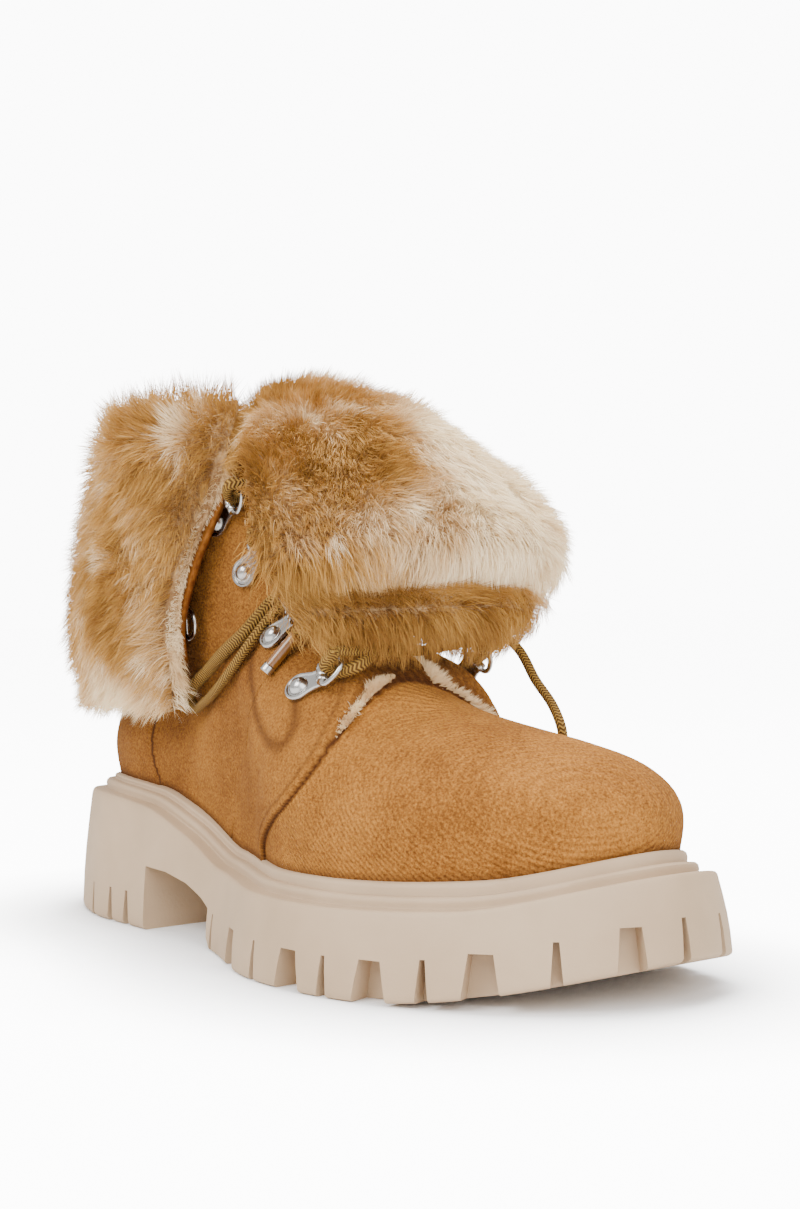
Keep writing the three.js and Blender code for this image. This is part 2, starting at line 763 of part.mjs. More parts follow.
function makeTongue() {
  const middle = tongueRows.map(sidePoint);
  const normals = sideNormals(middle);
  return loft(tongueRows.map((row, i) => {
    const ring = [];
    for (const side of [-1, 1]) {
      for (let j = 0; j <= stripSteps; j += 1) {
        const across = (side < 0 ? 1 : -1) * (1 - (2 * j) / stripSteps);
        const edge = 1 - 0.5 * across ** 4;
        const lift = side * 0.5 * tongueThickness * edge;
        const bend = row.sag * ballWidth * across * across;
        ring.push(new THREE.Vector3(
          middle[i][0] + normals[i].x * lift - bend,
          row.half * ballWidth * across,
          middle[i][1] + normals[i].y * lift,
        ));
      }
    }
    return ring;
  }));
}

const furSteps = 16;

function makeTongueFur() {
  const middle = tongueFurRows.map(sidePoint);
  const normals = sideNormals(middle);
  return loft(tongueFurRows.map((row, i) => {
    const ring = [];
    for (let j = 0; j < furSteps; j += 1) {
      const angle = (2 * Math.PI * (j + 0.5)) / furSteps;
      const across = Math.cos(angle);
      const up = Math.sin(angle);
      const base = 0.5 * tongueThickness + clearance;
      const lift = up > 0 ? base + 1 + row.rise * tongueFurDepth * up ** 0.75 : base;
      const spread = Math.sign(across) * Math.abs(across) ** 0.8;
      const bend = row.sag * ballWidth * spread * spread * (up > 0 ? 1 : 0.8);
      ring.push(new THREE.Vector3(
        middle[i][0] + normals[i].x * lift - bend,
        row.half * ballWidth * spread,
        middle[i][1] + normals[i].y * lift,
      ));
    }
    return ring;
  }));
}

// Fur locks: four-sided tapers joined to the fur, each with its tip bent off it
const lockSides = 4;

function makeLock(base, tip, width) {
  const length = base.distanceTo(tip);
  const lock = new THREE.ConeGeometry(width / 2, length, lockSides);
  lock.translate(0, length / 2, 0);
  const turn = new THREE.Quaternion().setFromUnitVectors(
    new THREE.Vector3(0, 1, 0),
    tip.clone().sub(base).normalize(),
  );
  lock.applyQuaternion(turn);
  lock.translate(base.x, base.y, base.z);
  return toSolid(lock);
}

// Rows of locks round the cuff: grow and height give their roots, drop and out their tips
const cuffLockRows = [
  { height: 0.5, grow: 0.62, count: 10, drop: 0.1, out: 0.1, width: 9 },
  { height: 0.68, grow: 0.8, count: 7, drop: 0.12, out: 0.2, width: 10 },
  { height: 0.9, grow: 0.66, count: 7, drop: 0.12, out: 0.2, width: 10 },
  { height: 1.05, grow: 0.4, count: 7, drop: -0.05, out: 0.32, width: 10 },
];
// The locks run from one end of the band to the other, clear of the front
const firstLock = 68;
const lockSpan = 224;

function makeCuffFur() {
  let cuff = makeBand(furRows);
  for (const [i, row] of cuffLockRows.entries()) {
    for (let k = 0; k < row.count; k += 1) {
      const share = (k + (i % 2 ? 0.75 : 0.5)) / (row.count + 0.3);
      const angle = (firstLock + lockSpan * share) * degree;
      const sway = 0.06 * Math.sin(7 * k + 3 * i);
      const base = shaftPoint(row.height * foldHeight, angle, row.grow * cuffReach);
      const tip = shaftPoint(
        (row.height - row.drop) * foldHeight,
        angle + sway,
        (row.grow + row.out) * cuffReach,
      );
      cuff = cuff.add(makeLock(base, tip, row.width));
    }
  }
  return cuff;
}

// Locks on the tongue's fur: row is the place in its table, rise the share of its depth and
// reach the share of its width; drop and out are how far a tip lies below and in front
const tongueLockRows = [
  { row: 12, rise: 0.45, count: 8, reach: 0.85, drop: 3, out: 7 },
  { row: 9, rise: 0.7, count: 6, reach: 0.8, drop: 9, out: 8 },
  { row: 7, rise: 0.7, count: 6, reach: 0.75, drop: 3, out: 10 },
];
const tongueLockWidth = 9;

function makeTongueLocks(fur) {
  let locks = fur;
  for (const [i, line] of tongueLockRows.entries()) {
    const row = tongueFurRows[line.row];
    const [x, z] = sidePoint(row);
    for (let k = 0; k < line.count; k += 1) {
      const across = line.reach * (-1 + (2 * k) / (line.count - 1));
      const bend = row.sag * ballWidth * across ** 2;
      const depth = line.rise * row.rise * tongueFurDepth * (1 - across ** 4);
      const base = new THREE.Vector3(x + depth - bend, row.half * ballWidth * across, z + 1);
      const sway = 3 * Math.sin(5 * k + 2 * i) + 4 * across;
      const tip = base.clone().add(new THREE.Vector3(line.out, sway, -line.drop));
      locks = locks.add(makeLock(base, tip, tongueLockWidth));
    }
  }
  return locks;
}

// Lace rings

// Point of the quarter's outside at a place in side view, with the normal there
function onQuarter(row, side) {
  const field = (x, y, z) => formField(x, y, z, quarterGrow(x, y, z));
  const [x, z] = sidePoint(row);
  const place = castRay(field, new THREE.Vector3(x, 0, z), new THREE.Vector3(0, side, 0), ballWidth);
  const step = 0.5;
  const rise = (dx, dy, dz) => field(place.x + dx, place.y + dy, place.z + dz)
    - field(place.x - dx, place.y - dy, place.z - dz);
  const normal = new THREE.Vector3(rise(step, 0, 0), rise(0, step, 0), rise(0, 0, step)).normalize();
  return { place, normal };
}

// Rivets of the clips, from the lowest pair up: heading is the clip's turn in side view from
// the toe's direction upwards, and swing lifts its ring off the quarter
const clipRows = [
  { along: 0.599, height: 0.53, heading: 40, swing: 13, lift: 0.6 },
  { along: 0.514, height: 0.625, heading: 58, swing: 24, lift: 0.6 },
  { along: 0.427, height: 0.753, heading: 50, swing: 18, lift: 0.5 },
  { along: 0.381, height: 0.859, heading: 40, swing: 12, lift: 0.5 },
];
const barrelRise = 1.9;
const barrelWall = 0.8;
const barrelEase = 0.35;

// Local axes of a clip: X along its plate to the ring, Y across, Z off the quarter
function clipFrame(row, side) {
  const { place, normal } = onQuarter(row, side);
  const heading = new THREE.Vector3(Math.cos(row.heading * degree), 0, Math.sin(row.heading * degree));
  const along = heading.addScaledVector(normal, -heading.dot(normal)).normalize();
  const across = new THREE.Vector3().crossVectors(normal, along);
  const frame = new THREE.Matrix4().makeBasis(along, across, normal);
  return frame.setPosition(place.addScaledVector(normal, row.lift));
}

function makeClip() {
  const end = plateWidth / 2;
  const neck = barrelWidth / 2;
  const shoulder = 0.46 * plateWidth;
  const outlinePoints = [[barrelDistance, -neck], [barrelDistance, neck], [shoulder, neck]];
  const plateSteps = 4;
  for (let i = 0; i <= plateSteps; i += 1) {
    const angle = (70 + (220 * i) / plateSteps) * degree;
    outlinePoints.push([end * Math.cos(angle), end * Math.sin(angle)]);
  }
  outlinePoints.push([shoulder, -neck]);
  const plate = prism(outlinePoints, plateThickness, new THREE.Matrix4());
  const dome = [
    [0, plateThickness + rivetHeight],
    [0.28 * rivetDiameter, plateThickness + 0.8 * rivetHeight],
    [0.5 * rivetDiameter, plateThickness + 0.15 * rivetHeight],
    [0.5 * rivetDiameter, 0.3 * plateThickness],
    [0, 0.3 * plateThickness],
  ].map(([radius, height]) => new THREE.Vector2(radius, height));
  const rivet = new THREE.LatheGeometry(dome.reverse(), 7);
  rivet.rotateX(Math.PI / 2);
  const bore = wireDiameter / 2 + barrelEase;
  const outside = bore + barrelWall;
  const wallShape = [
    [bore, -neck],
    [outside, -neck],
    [outside, neck],
    [bore, neck],
    [bore, -neck],
  ].map(([radius, height]) => new THREE.Vector2(radius, height));
  const barrel = new THREE.LatheGeometry(wallShape, 6);
  barrel.translate(barrelMiddle, 0, barrelRise);
  const hole = new THREE.LatheGeometry([
    new THREE.Vector2(0, -neck - 1),
    new THREE.Vector2(bore, -neck - 1),
    new THREE.Vector2(bore, neck + 1),
    new THREE.Vector2(0, neck + 1),
  ], 6);
  hole.translate(barrelMiddle, 0, barrelRise);
  return plate.add(toSolid(rivet)).subtract(toSolid(hole)).add(toSolid(barrel));
}

function makeRing(swing) {
  const half = ringWidth / 2 - wireDiameter / 2;
  const reach = ringReach - wireDiameter;
  const line = new THREE.CatmullRomCurve3([
    [0, -0.75 * half],
    [0, 0],
    [0, 0.75 * half],
    [0.16 * reach, half],
    [0.55 * reach, 0.9 * half],
    [0.9 * reach, 0.5 * half],
    [reach, 0],
    [0.9 * reach, -0.5 * half],
    [0.55 * reach, -0.9 * half],
    [0.16 * reach, -half],
  ].map(([u, v]) => new THREE.Vector3(u * Math.cos(swing), v, u * Math.sin(swing))), true, 'centripetal');
  const ring = new THREE.TubeGeometry(line, 10, wireDiameter / 2, 4, true);
  ring.translate(barrelMiddle, 0, barrelRise);
  return toSolid(ring);
}

// Lace

// A place in a ring's hole: out is the share of the way to its arc, over the height above the
// ring in lace diameters
function inRing(row, side, out, over) {
  const swing = row.swing * degree;
  const reach = out * (ringReach - wireDiameter);
  const rise = over * laceDiameter;
  const local = new THREE.Vector3(
    barrelMiddle + reach * Math.cos(swing) - rise * Math.sin(swing),
    0,
    barrelRise + reach * Math.sin(swing) + rise * Math.cos(swing),
  );
  return local.applyMatrix4(clipFrame(row, side));
}

const barSides = 6;
const laceSides = 8;

// A short stiff run of lace with a section at each of its points
function makeStrand(points) {
  const across = new THREE.Vector3(1, 0, 0);
  return loft(points.map((point, i) => {
    const before = points[Math.max(0, i - 1)];
    const after = points[Math.min(points.length - 1, i + 1)];
    const along = after.clone().sub(before).normalize();
    across.addScaledVector(along, -across.dot(along)).normalize();
    const up = new THREE.Vector3().crossVectors(along, across);
    return Array.from({ length: barSides }, (unused, k) => {
      const angle = (2 * Math.PI * k) / barSides;
      return point.clone()
        .addScaledVector(across, (laceDiameter / 2) * Math.cos(angle))
        .addScaledVector(up, (laceDiameter / 2) * Math.sin(angle));
    });
  }));
}

// The rising part of the tongue, which the lace crosses in front of
const risingRows = tongueRows.slice(0, 7);
const tongueFront = (z) => xAt(lookUp(risingRows, 'height', 'along', z / foldHeight)) + tongueThickness / 2;

// Over the arc, down through the hole, and out under the arc
const ringPass = [[1.25, 1.3], [0.4, 0.54], [0.4, -0.54], [1.36, -1.34]];
const throughRing = (row, side) => ringPass.map(([out, over]) => inRing(row, side, out, over));

function crossMiddle(a, b, rise) {
  const middle = a.clone().add(b).multiplyScalar(0.5);
  middle.z += rise;
  middle.x = Math.max(middle.x, tongueFront(middle.z) + 0.9 * laceDiameter);
  return middle;
}

const knotPlace = new THREE.Vector3(xAt(0.472), 0, 0.85 * foldHeight);
const knotSize = { depth: 9, width: 12, height: 9 };

function makeLaceBars() {
  const first = throughRing(clipRows[0], -1);
  const opposite = throughRing(clipRows[0], 1);
  const bar = [first[0], crossMiddle(first[0], opposite[0], -2), ...opposite];
  const runs = [first, bar];
  for (const start of [-1, 1]) {
    const run = runs[start < 0 ? 0 : 1];
    for (let i = 1; i < clipRows.length; i += 1) {
      const next = throughRing(clipRows[i], i % 2 ? -start : start);
      run.push(crossMiddle(run[run.length - 1], next[0], start), ...next);
    }
    const last = run[run.length - 1];
    const toward = Math.sign(last.y) * (knotSize.width / 2 + laceDiameter / 2 + clearance);
    run.push(knotPlace.clone().add(new THREE.Vector3(0, toward, -1)));
  }
  return makeStrand(first).add(makeStrand(bar));
}

function makeKnot() {
  const knot = new THREE.SphereGeometry(0.5, 8, 5);
  knot.scale(knotSize.depth, knotSize.width, knotSize.height);
  knot.translate(knotPlace.x, knotPlace.y, knotPlace.z);
  return toSolid(knot);
}

const laceStep = 2.9 * laceDiameter;

function makeCord(points) {
  const line = new THREE.CatmullRomCurve3(points, false, 'centripetal');
  const section = new THREE.Shape();
  for (let i = 0; i < laceSides; i += 1) {
    const angle = (2 * Math.PI * i) / laceSides;
    const at = [(laceDiameter / 2) * Math.cos(angle), (laceDiameter / 2) * Math.sin(angle)];
    if (i === 0) section.moveTo(...at);
    else section.lineTo(...at);
  }
  const steps = Math.ceil(line.getLength() / laceStep);
  return toSolid(new THREE.ExtrudeGeometry(section, { steps, extrudePath: line, bevelEnabled: false }));
}

// A point that lies on the quarter with its middle the given number of lace diameters above it
function lyingOn(row, side) {
  const { place, normal } = onQuarter(row, side);
  return place.addScaledVector(normal, row.lift * laceDiameter);
}

// The bow's loop down the quarter: out along its upper run, round the tip and back
const loopRows = [
  { along: 0.484, height: 0.702, lift: 0.75 },
  { along: 0.474, height: 0.66, lift: 0.75 },
  { along: 0.458, height: 0.625, lift: 0.75 },
  { along: 0.422, height: 0.589, lift: 0.75 },
  { along: 0.37, height: 0.552, lift: 1 },
  { along: 0.333, height: 0.519, lift: 1.1 },
  { along: 0.317, height: 0.49, lift: 0.85 },
  { along: 0.33, height: 0.469, lift: 0.75 },
  { along: 0.365, height: 0.482, lift: 0.75 },
  { along: 0.407, height: 0.512, lift: 0.75 },
  { along: 0.453, height: 0.558, lift: 0.75 },
  { along: 0.482, height: 0.605, lift: 0.75 },
  { along: 0.496, height: 0.655, lift: 0.75 },
  { along: 0.502, height: 0.702, lift: 0.75 },
];
// The sleeve on the end that hangs by the lowest outer ring
const sleeveRows = [
  { along: 0.5505, height: 0.612, lift: 1.15 },
  { along: 0.534, height: 0.525, lift: 0.9 },
];
// The end that hangs over the inner quarter: across is a share of the ball's width
const innerEndRows = [
  { along: 0.545, across: 0.19, height: 0.76 },
  { along: 0.6, across: 0.3, height: 0.66 },
  { along: 0.641, across: 0.352, height: 0.59 },
  { along: 0.665, across: 0.36, height: 0.53 },
  { along: 0.69, across: 0.365, height: 0.482 },
];
const innerSleeveRows = [
  { along: 0.7055, across: 0.37, height: 0.405 },
  { along: 0.701, across: 0.405, height: 0.305 },
];
const spacePoint = (row) => new THREE.Vector3(
  xAt(row.along),
  row.across * ballWidth,
  row.height * foldHeight,
);
const knotSide = (x, y, z) => knotPlace.clone().add(new THREE.Vector3(
  x * knotSize.depth,
  y * knotSize.width,
  z * knotSize.height,
));

function makeLoop(side) {
  return makeCord([
    knotSide(0.46, side * 0.38, -0.1),
    knotSide(1.5, side * 1.05, -0.85),
    ...loopRows.map((row) => lyingOn(row, side)),
    knotSide(2.1, side * 1.3, -1.6),
    knotSide(1.6, side * 0.6, -0.7),
    knotSide(0.5, side * 0.12, -0.35),
  ]);
}

// The lace comes straight into its sleeve
const sleeveLead = ([from, to]) => from.clone().lerp(to, -0.35);

const sleeveDiameter = laceDiameter + 0.5;

function makeSleeve(from, to) {
  const along = to.clone().sub(from).normalize();
  const start = from.clone().addScaledVector(along, clearance);
  const sleeve = new THREE.CylinderGeometry(sleeveDiameter / 2, 0.46 * sleeveDiameter, sleeveLength, 8);
  sleeve.translate(0, sleeveLength / 2, 0);
  sleeve.applyQuaternion(new THREE.Quaternion().setFromUnitVectors(new THREE.Vector3(0, 1, 0), along));
  sleeve.translate(start.x, start.y, start.z);
  return toSolid(sleeve);
}

const parts = new THREE.Group();

function addPart(name, solid, finish, frame) {
  const material = new THREE.MeshStandardMaterial(finish);
  const mesh = new THREE.Mesh(toGeometry(solid), material);
  mesh.name = name;
  if (frame) mesh.applyMatrix4(frame);
  parts.add(mesh);
}

const rubber = { color: 0xcbbba6, roughness: 0.75, metalness: 0 };
const suede = { color: 0xb9793c, roughness: 0.95, metalness: 0 };
const lining = { color: 0xe3d2b4, roughness: 0.95, metalness: 0 };
const fur = { color: 0xc49a63, roughness: 0.98, metalness: 0 };
const nickel = { color: 0xc8c4bc, roughness: 0.25, metalness: 1 };
const cord = { color: 0x8a5a20, roughness: 0.8, metalness: 0 };

addPart('sole', makeSole(), rubber);
addPart('upper', makeUpper(), suede);
addPart('insole', makeInsole(), lining);
addPart('tongue', makeTongue(), suede);
addPart('cuff_fur', makeCuffFur(), fur);
addPart('tongue_fur', makeTongueLocks(makeTongueFur()), fur);
const clip = makeClip();
for (const [i, row] of clipRows.entries()) {
  const ring = makeRing(row.swing * degree);
  for (const [name, side] of [['outer', -1], ['inner', 1]]) {
    const frame = clipFrame(row, side);
    addPart(`clip_${name}_${i + 1}`, clip, nickel, frame);
    addPart(`ring_${name}_${i + 1}`, ring, nickel, frame);
  }
}
const sleeve = sleeveRows.map((row) => lyingOn(row, -1));
const innerSleeve = innerSleeveRows.map(spacePoint);
const sleeveFinish = { color: 0x4a2c12, roughness: 0.3, metalness: 0 };
addPart('lace_bars', makeLaceBars(), cord);
addPart('lace_knot', makeKnot(), cord);
addPart('lace_loop_outer', makeLoop(-1), cord);
addPart('lace_loop_inner', makeLoop(1), cord);
addPart('lace_end_outer', makeCord([
  knotSide(0.55, -0.15, 0.25),
  knotSide(2.3, -0.75, -0.6),
  knotSide(3.75, -1.25, -1.7),
  knotSide(3.7, -1.75, -3.2),
  sleeveLead(sleeve),
  sleeve[0],
]), cord);
addPart('lace_end_inner', makeCord([
  knotSide(0.55, 0.15, 0.25),
  knotSide(2.1, 0.9, -0.6),
  ...innerEndRows.map(spacePoint),
  sleeveLead(innerSleeve),
  innerSleeve[0],
]), cord);
addPart('sleeve_outer', makeSleeve(...sleeve), sleeveFinish);
addPart('sleeve_inner', makeSleeve(...innerSleeve), sleeveFinish);

export default parts;
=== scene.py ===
import bpy
import math
import numpy as np
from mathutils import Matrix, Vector


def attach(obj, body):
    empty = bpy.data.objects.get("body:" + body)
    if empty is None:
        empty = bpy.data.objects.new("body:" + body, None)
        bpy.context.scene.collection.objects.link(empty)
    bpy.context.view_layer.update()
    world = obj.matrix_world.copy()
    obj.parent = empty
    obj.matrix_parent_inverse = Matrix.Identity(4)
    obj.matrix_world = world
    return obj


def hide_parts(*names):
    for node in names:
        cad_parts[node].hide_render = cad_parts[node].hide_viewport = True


# Places are worked out in millimetres, as in the CAD, and made metres when a mesh is filled.
# +X points to the toe, +Y to the inner side of this right boot, +Z up.
MM = 0.001
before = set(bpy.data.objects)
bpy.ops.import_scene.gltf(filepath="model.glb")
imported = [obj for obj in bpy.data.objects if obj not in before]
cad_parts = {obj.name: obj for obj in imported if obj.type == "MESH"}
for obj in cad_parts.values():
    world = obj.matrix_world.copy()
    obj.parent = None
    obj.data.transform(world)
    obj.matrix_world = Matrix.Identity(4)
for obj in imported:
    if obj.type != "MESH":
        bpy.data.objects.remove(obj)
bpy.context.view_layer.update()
chance = np.random.default_rng(11)
detail = 1.0

# Studio: the camera stands low beside the boot's outer side and looks at it from the
# front quarter, over a white sweep lit by large soft lamps.


def new_material(name, color, roughness, metallic=0.0):
    material = bpy.data.materials.new(name)
    material.use_nodes = True
    surface = material.node_tree.nodes["Principled BSDF"]
    surface.inputs["Base Color"].default_value = (*color, 1.0)
    surface.inputs["Roughness"].default_value = roughness
    surface.inputs["Metallic"].default_value = metallic
    return material, material.node_tree, surface


def add_node(tree, kind, **settings):
    node = tree.nodes.new(kind)
    for key, value in settings.items():
        setattr(node, key, value)
    return node


def calculate(tree, operation, *values):
    """A math node on sockets or numbers."""
    node = add_node(tree, "ShaderNodeMath", operation=operation)
    for socket, value in zip(node.inputs, values):
        if isinstance(value, (int, float)):
            socket.default_value = value
        else:
            tree.links.new(value, socket)
    return node.outputs[0]


camera_data = bpy.data.cameras.new("camera")
camera_data.sensor_width = 36.0
camera_data.lens = 60.93
camera_data.shift_y = -0.0334
camera = bpy.data.objects.new("camera", camera_data)
camera.location = (0.63123, -0.38432, 0.11586)
camera.rotation_euler = (math.radians(90.318), math.radians(0.914), math.radians(52.345))
bpy.context.scene.collection.objects.link(camera)
bpy.context.scene.camera = camera

WHITE = 11.0
SKY_LIGHT = 1.02
world = bpy.data.worlds.new("studio")
world.use_nodes = True
world_tree = world.node_tree
background = world_tree.nodes["Background"]
background.inputs["Color"].default_value = (1.0, 1.0, 1.0, 1.0)
seen = add_node(world_tree, "ShaderNodeLightPath").outputs["Is Camera Ray"]
strength = calculate(world_tree, "MULTIPLY_ADD", seen, WHITE - SKY_LIGHT, SKY_LIGHT)
world_tree.links.new(strength, background.inputs["Strength"])
bpy.context.scene.world = world

bpy.ops.object.select_all(action="DESELECT")
bpy.ops.mesh.primitive_plane_add(size=8.0, location=(0.1, 0.0, 0.0))
floor = bpy.context.object
floor.name = "floor"
floor_paint, floor_tree, floor_surface = new_material("floor_paint", (0.9, 0.9, 0.9), 0.6)
floor_surface.inputs["Emission Color"].default_value = (1.0, 1.0, 1.0, 1.0)
# Seen by the camera, the floor glows as white as the sky, with a painted shadow where the boot closes it off
floor_seen = add_node(floor_tree, "ShaderNodeLightPath").outputs["Is Camera Ray"]
open_sky = add_node(floor_tree, "ShaderNodeAmbientOcclusion", samples=12)
open_sky.inputs["Distance"].default_value = 0.075
floor_glow = calculate(floor_tree, "MULTIPLY", floor_seen, calculate(
    floor_tree, "POWER", open_sky.outputs["AO"], 5.5))
floor_tree.links.new(calculate(floor_tree, "MULTIPLY", floor_glow, WHITE - 1.2),
                     floor_surface.inputs["Emission Strength"])
floor.data.materials.append(floor_paint)


def add_lamp(name, place, target, size, power):
    lamp = bpy.data.lights.new(name, "AREA")
    lamp.size = size
    lamp.energy = power
    holder = bpy.data.objects.new(name, lamp)
    holder.location = place
    holder.rotation_euler = (Vector(target) - Vector(place)).to_track_quat("-Z", "Y").to_euler()
    bpy.context.scene.collection.objects.link(holder)


add_lamp("key", (0.2, -0.9, 0.9), (0.08, 0.0, 0.08), 0.7, 17)
add_lamp("fill", (1.0, -0.2, 0.5), (0.1, 0.0, 0.06), 0.8, 8.5)
add_lamp("top", (-0.1, 0.3, 1.0), (0.05, 0.0, 0.1), 0.7, 16)

# Cords: the flat braided lace runs through the rings, is tied in a bow behind the tongue's
# flap, and its loops and ends hang down both sides.

# Driving sizes, the same as the CAD's
SOLE_LENGTH = 282.0
BALL_WIDTH = 106.0
HEEL_REACH = 35.6
HEEL_HEIGHT = 42.5
FOLD_HEIGHT = 156.0
QUARTER_STEP = 1.6
COUNTER_STEP = 0.9
TONGUE_THICKNESS = 2.6
LACE = 3.4
CLEARANCE = 0.3


def x_at(along):
    return along * SOLE_LENGTH - HEEL_REACH


def unit(vectors):
    return vectors / np.maximum(np.linalg.norm(vectors, axis=-1, keepdims=True), 1e-9)


def smoothstep(value, low, high):
    t = np.clip((value - low) / (high - low), 0, 1)
    return t * t * (3 - 2 * t)


def look_up(rows, column, value):
    """Monotone cubic through one column of a table whose first column is the key."""
    keys = np.array([row[0] for row in rows])
    heights = np.array([row[column] for row in rows])
    slope = np.diff(heights) / np.diff(keys)
    before = slope[:-1]
    after = slope[1:]
    total = np.where(np.abs(before + after) < 1e-12, 1.0, before + after)
    inner = np.where(before * after <= 0, 0.0, 2 * before * after / total)
    tangent = np.concatenate([slope[:1], inner, slope[-1:]])
    value = np.clip(value, keys[0], keys[-1])
    i = np.clip(np.searchsorted(keys, value, side="right") - 1, 0, len(keys) - 2)
    span = keys[i + 1] - keys[i]
    t = (value - keys[i]) / span
    t2 = t * t
    t3 = t2 * t
    return ((2 * t3 - 3 * t2 + 1) * heights[i] + (t3 - 2 * t2 + t) * span * tangent[i]
            + (3 * t2 - 2 * t3) * heights[i + 1] + (t3 - t2) * span * tangent[i + 1])


def curve_through(points, count, closed=False):
    """Evenly spaced points on a centripetal curve through the given ones."""
    points = np.asarray(points, float)
    if closed:
        path = np.vstack([points[-1], points, points[:2]])
    else:
        path = np.vstack([2 * points[0] - points[1], points, 2 * points[-1] - points[-2]])
    runs = []
    for p0, p1, p2, p3 in zip(path, path[1:], path[2:], path[3:]):
        t1 = np.linalg.norm(p1 - p0) ** 0.5
        t2 = t1 + np.linalg.norm(p2 - p1) ** 0.5
        t3 = t2 + np.linalg.norm(p3 - p2) ** 0.5
        t = np.linspace(t1, t2, 24, endpoint=False)[:, None]
        a1 = (t1 - t) / t1 * p0 + t / t1 * p1
        a2 = (t2 - t) / (t2 - t1) * p1 + (t - t1) / (t2 - t1) * p2
        a3 = (t3 - t) / (t3 - t2) * p2 + (t - t2) / (t3 - t2) * p3
        b1 = (t2 - t) / t2 * a1 + t / t2 * a2
        b2 = (t3 - t) / (t3 - t1) * a2 + (t - t1) / (t3 - t1) * a3
        runs.append((t2 - t) / (t2 - t1) * b1 + (t - t1) / (t2 - t1) * b2)
    dense = np.vstack(runs + [points[:1] if closed else points[-1:]])
    way = np.concatenate([[0], np.cumsum(np.linalg.norm(np.diff(dense, axis=0), axis=1))])
    at = np.linspace(0, way[-1], count, endpoint=not closed)
    return np.stack([np.interp(at, way, dense[:, k]) for k in range(points.shape[1])], axis=1)


# The sole's outline and heights, and the form of the foot and the shaft

outline_rows = [
    (0.0, 0.028), (0.028, -0.199), (0.133, -0.341), (0.266, -0.37), (0.432, -0.405),
    (0.603, -0.561), (0.747, -0.548), (0.877, -0.406), (0.969, -0.164), (1.0, 0.086),
    (0.961, 0.339), (0.86, 0.439), (0.714, 0.432), (0.534, 0.336), (0.338, 0.335),
    (0.197, 0.355), (0.079, 0.341), (0.011, 0.201),
]
rim_rows = [
    (-0.02, 0.95), (0.126, 1.0), (0.25, 0.95), (0.346, 0.79), (0.445, 0.585),
    (0.552, 0.57), (0.694, 0.572), (0.853, 0.61), (1.0, 0.85),
]
rib_rows = [(0.0, 3.2, 1.4), (0.35, 3.1, 2.2), (0.7, 3.2, 3.2), (1.0, 3.8, 4.2)]
vamp_rows = [
    (0.1, 0.6), (0.34, 0.64), (0.42, 0.8), (0.5, 0.75), (0.58, 0.62), (0.64, 0.55),
    (0.71, 0.494), (0.78, 0.465), (0.85, 0.445), (0.905, 0.43), (0.96, 0.407), (1.0, 0.372),
]
# Height, back, front and half width of the shaft
shaft_rows = [
    (0.2, 0.09, 0.5, 0.16), (0.4, 0.08, 0.54, 0.19), (0.54, 0.07, 0.567, 0.225),
    (0.64, 0.074, 0.542, 0.243), (0.75, 0.085, 0.502, 0.252), (0.86, 0.1, 0.458, 0.262),
    (1.0, 0.106, 0.43, 0.272),
]
fullness_rows = [(0.45, 1.85), (0.62, 1.95), (0.75, 2.2), (0.9, 2.5)]
OUTLINE_STEPS = 360
RIM_INSET = 4.7
FEATHER_INSET = 13.9
TOE_SPRING = 12.2
SPRING_START = 175.0


def share_along(x):
    return (x + HEEL_REACH) / SOLE_LENGTH


def rim_height(x):
    return HEEL_HEIGHT * look_up(rim_rows, 1, share_along(x))


def platform_height(x):
    return rim_height(x) + look_up(rib_rows, 1, share_along(x)) + look_up(rib_rows, 2, share_along(x))


def ground_height(x):
    beyond = np.maximum(0, x - SPRING_START) / (x_at(1) - SPRING_START)
    return TOE_SPRING * beyond ** 2


def vamp_height(x):
    return FOLD_HEIGHT * look_up(vamp_rows, 1, share_along(x))


outline = curve_through([(x_at(a), c * BALL_WIDTH) for a, c in outline_rows], OUTLINE_STEPS, closed=True)


def inset_outline(distance):
    along = unit(np.roll(outline, -1, axis=0) - np.roll(outline, 1, axis=0))
    return outline + distance * np.stack([-along[:, 1], along[:, 0]], axis=1)


def segment_distance(points, starts, ends):
    """Way from each point to the nearest of the segments."""
    nearest = np.full(len(points), np.inf)
    for a, b in zip(starts, ends):
        d = b - a
        t = np.clip(((points - a) @ d) / max(d @ d, 1e-9), 0, 1)
        nearest = np.minimum(nearest, np.linalg.norm(points - a - t[:, None] * d, axis=1))
    return nearest


def inside_polygon(points, corners):
    inside = np.zeros(len(points), bool)
    for a, b in zip(corners, np.roll(corners, -1, axis=0)):
        crosses = (a[1] > points[:, 1]) != (b[1] > points[:, 1])
        rise = b[1] - a[1] if abs(b[1] - a[1]) > 1e-9 else 1e-9
        inside ^= crosses & (points[:, 0] < a[0] + (points[:, 1] - a[1]) / rise * (b[0] - a[0]))
    return inside


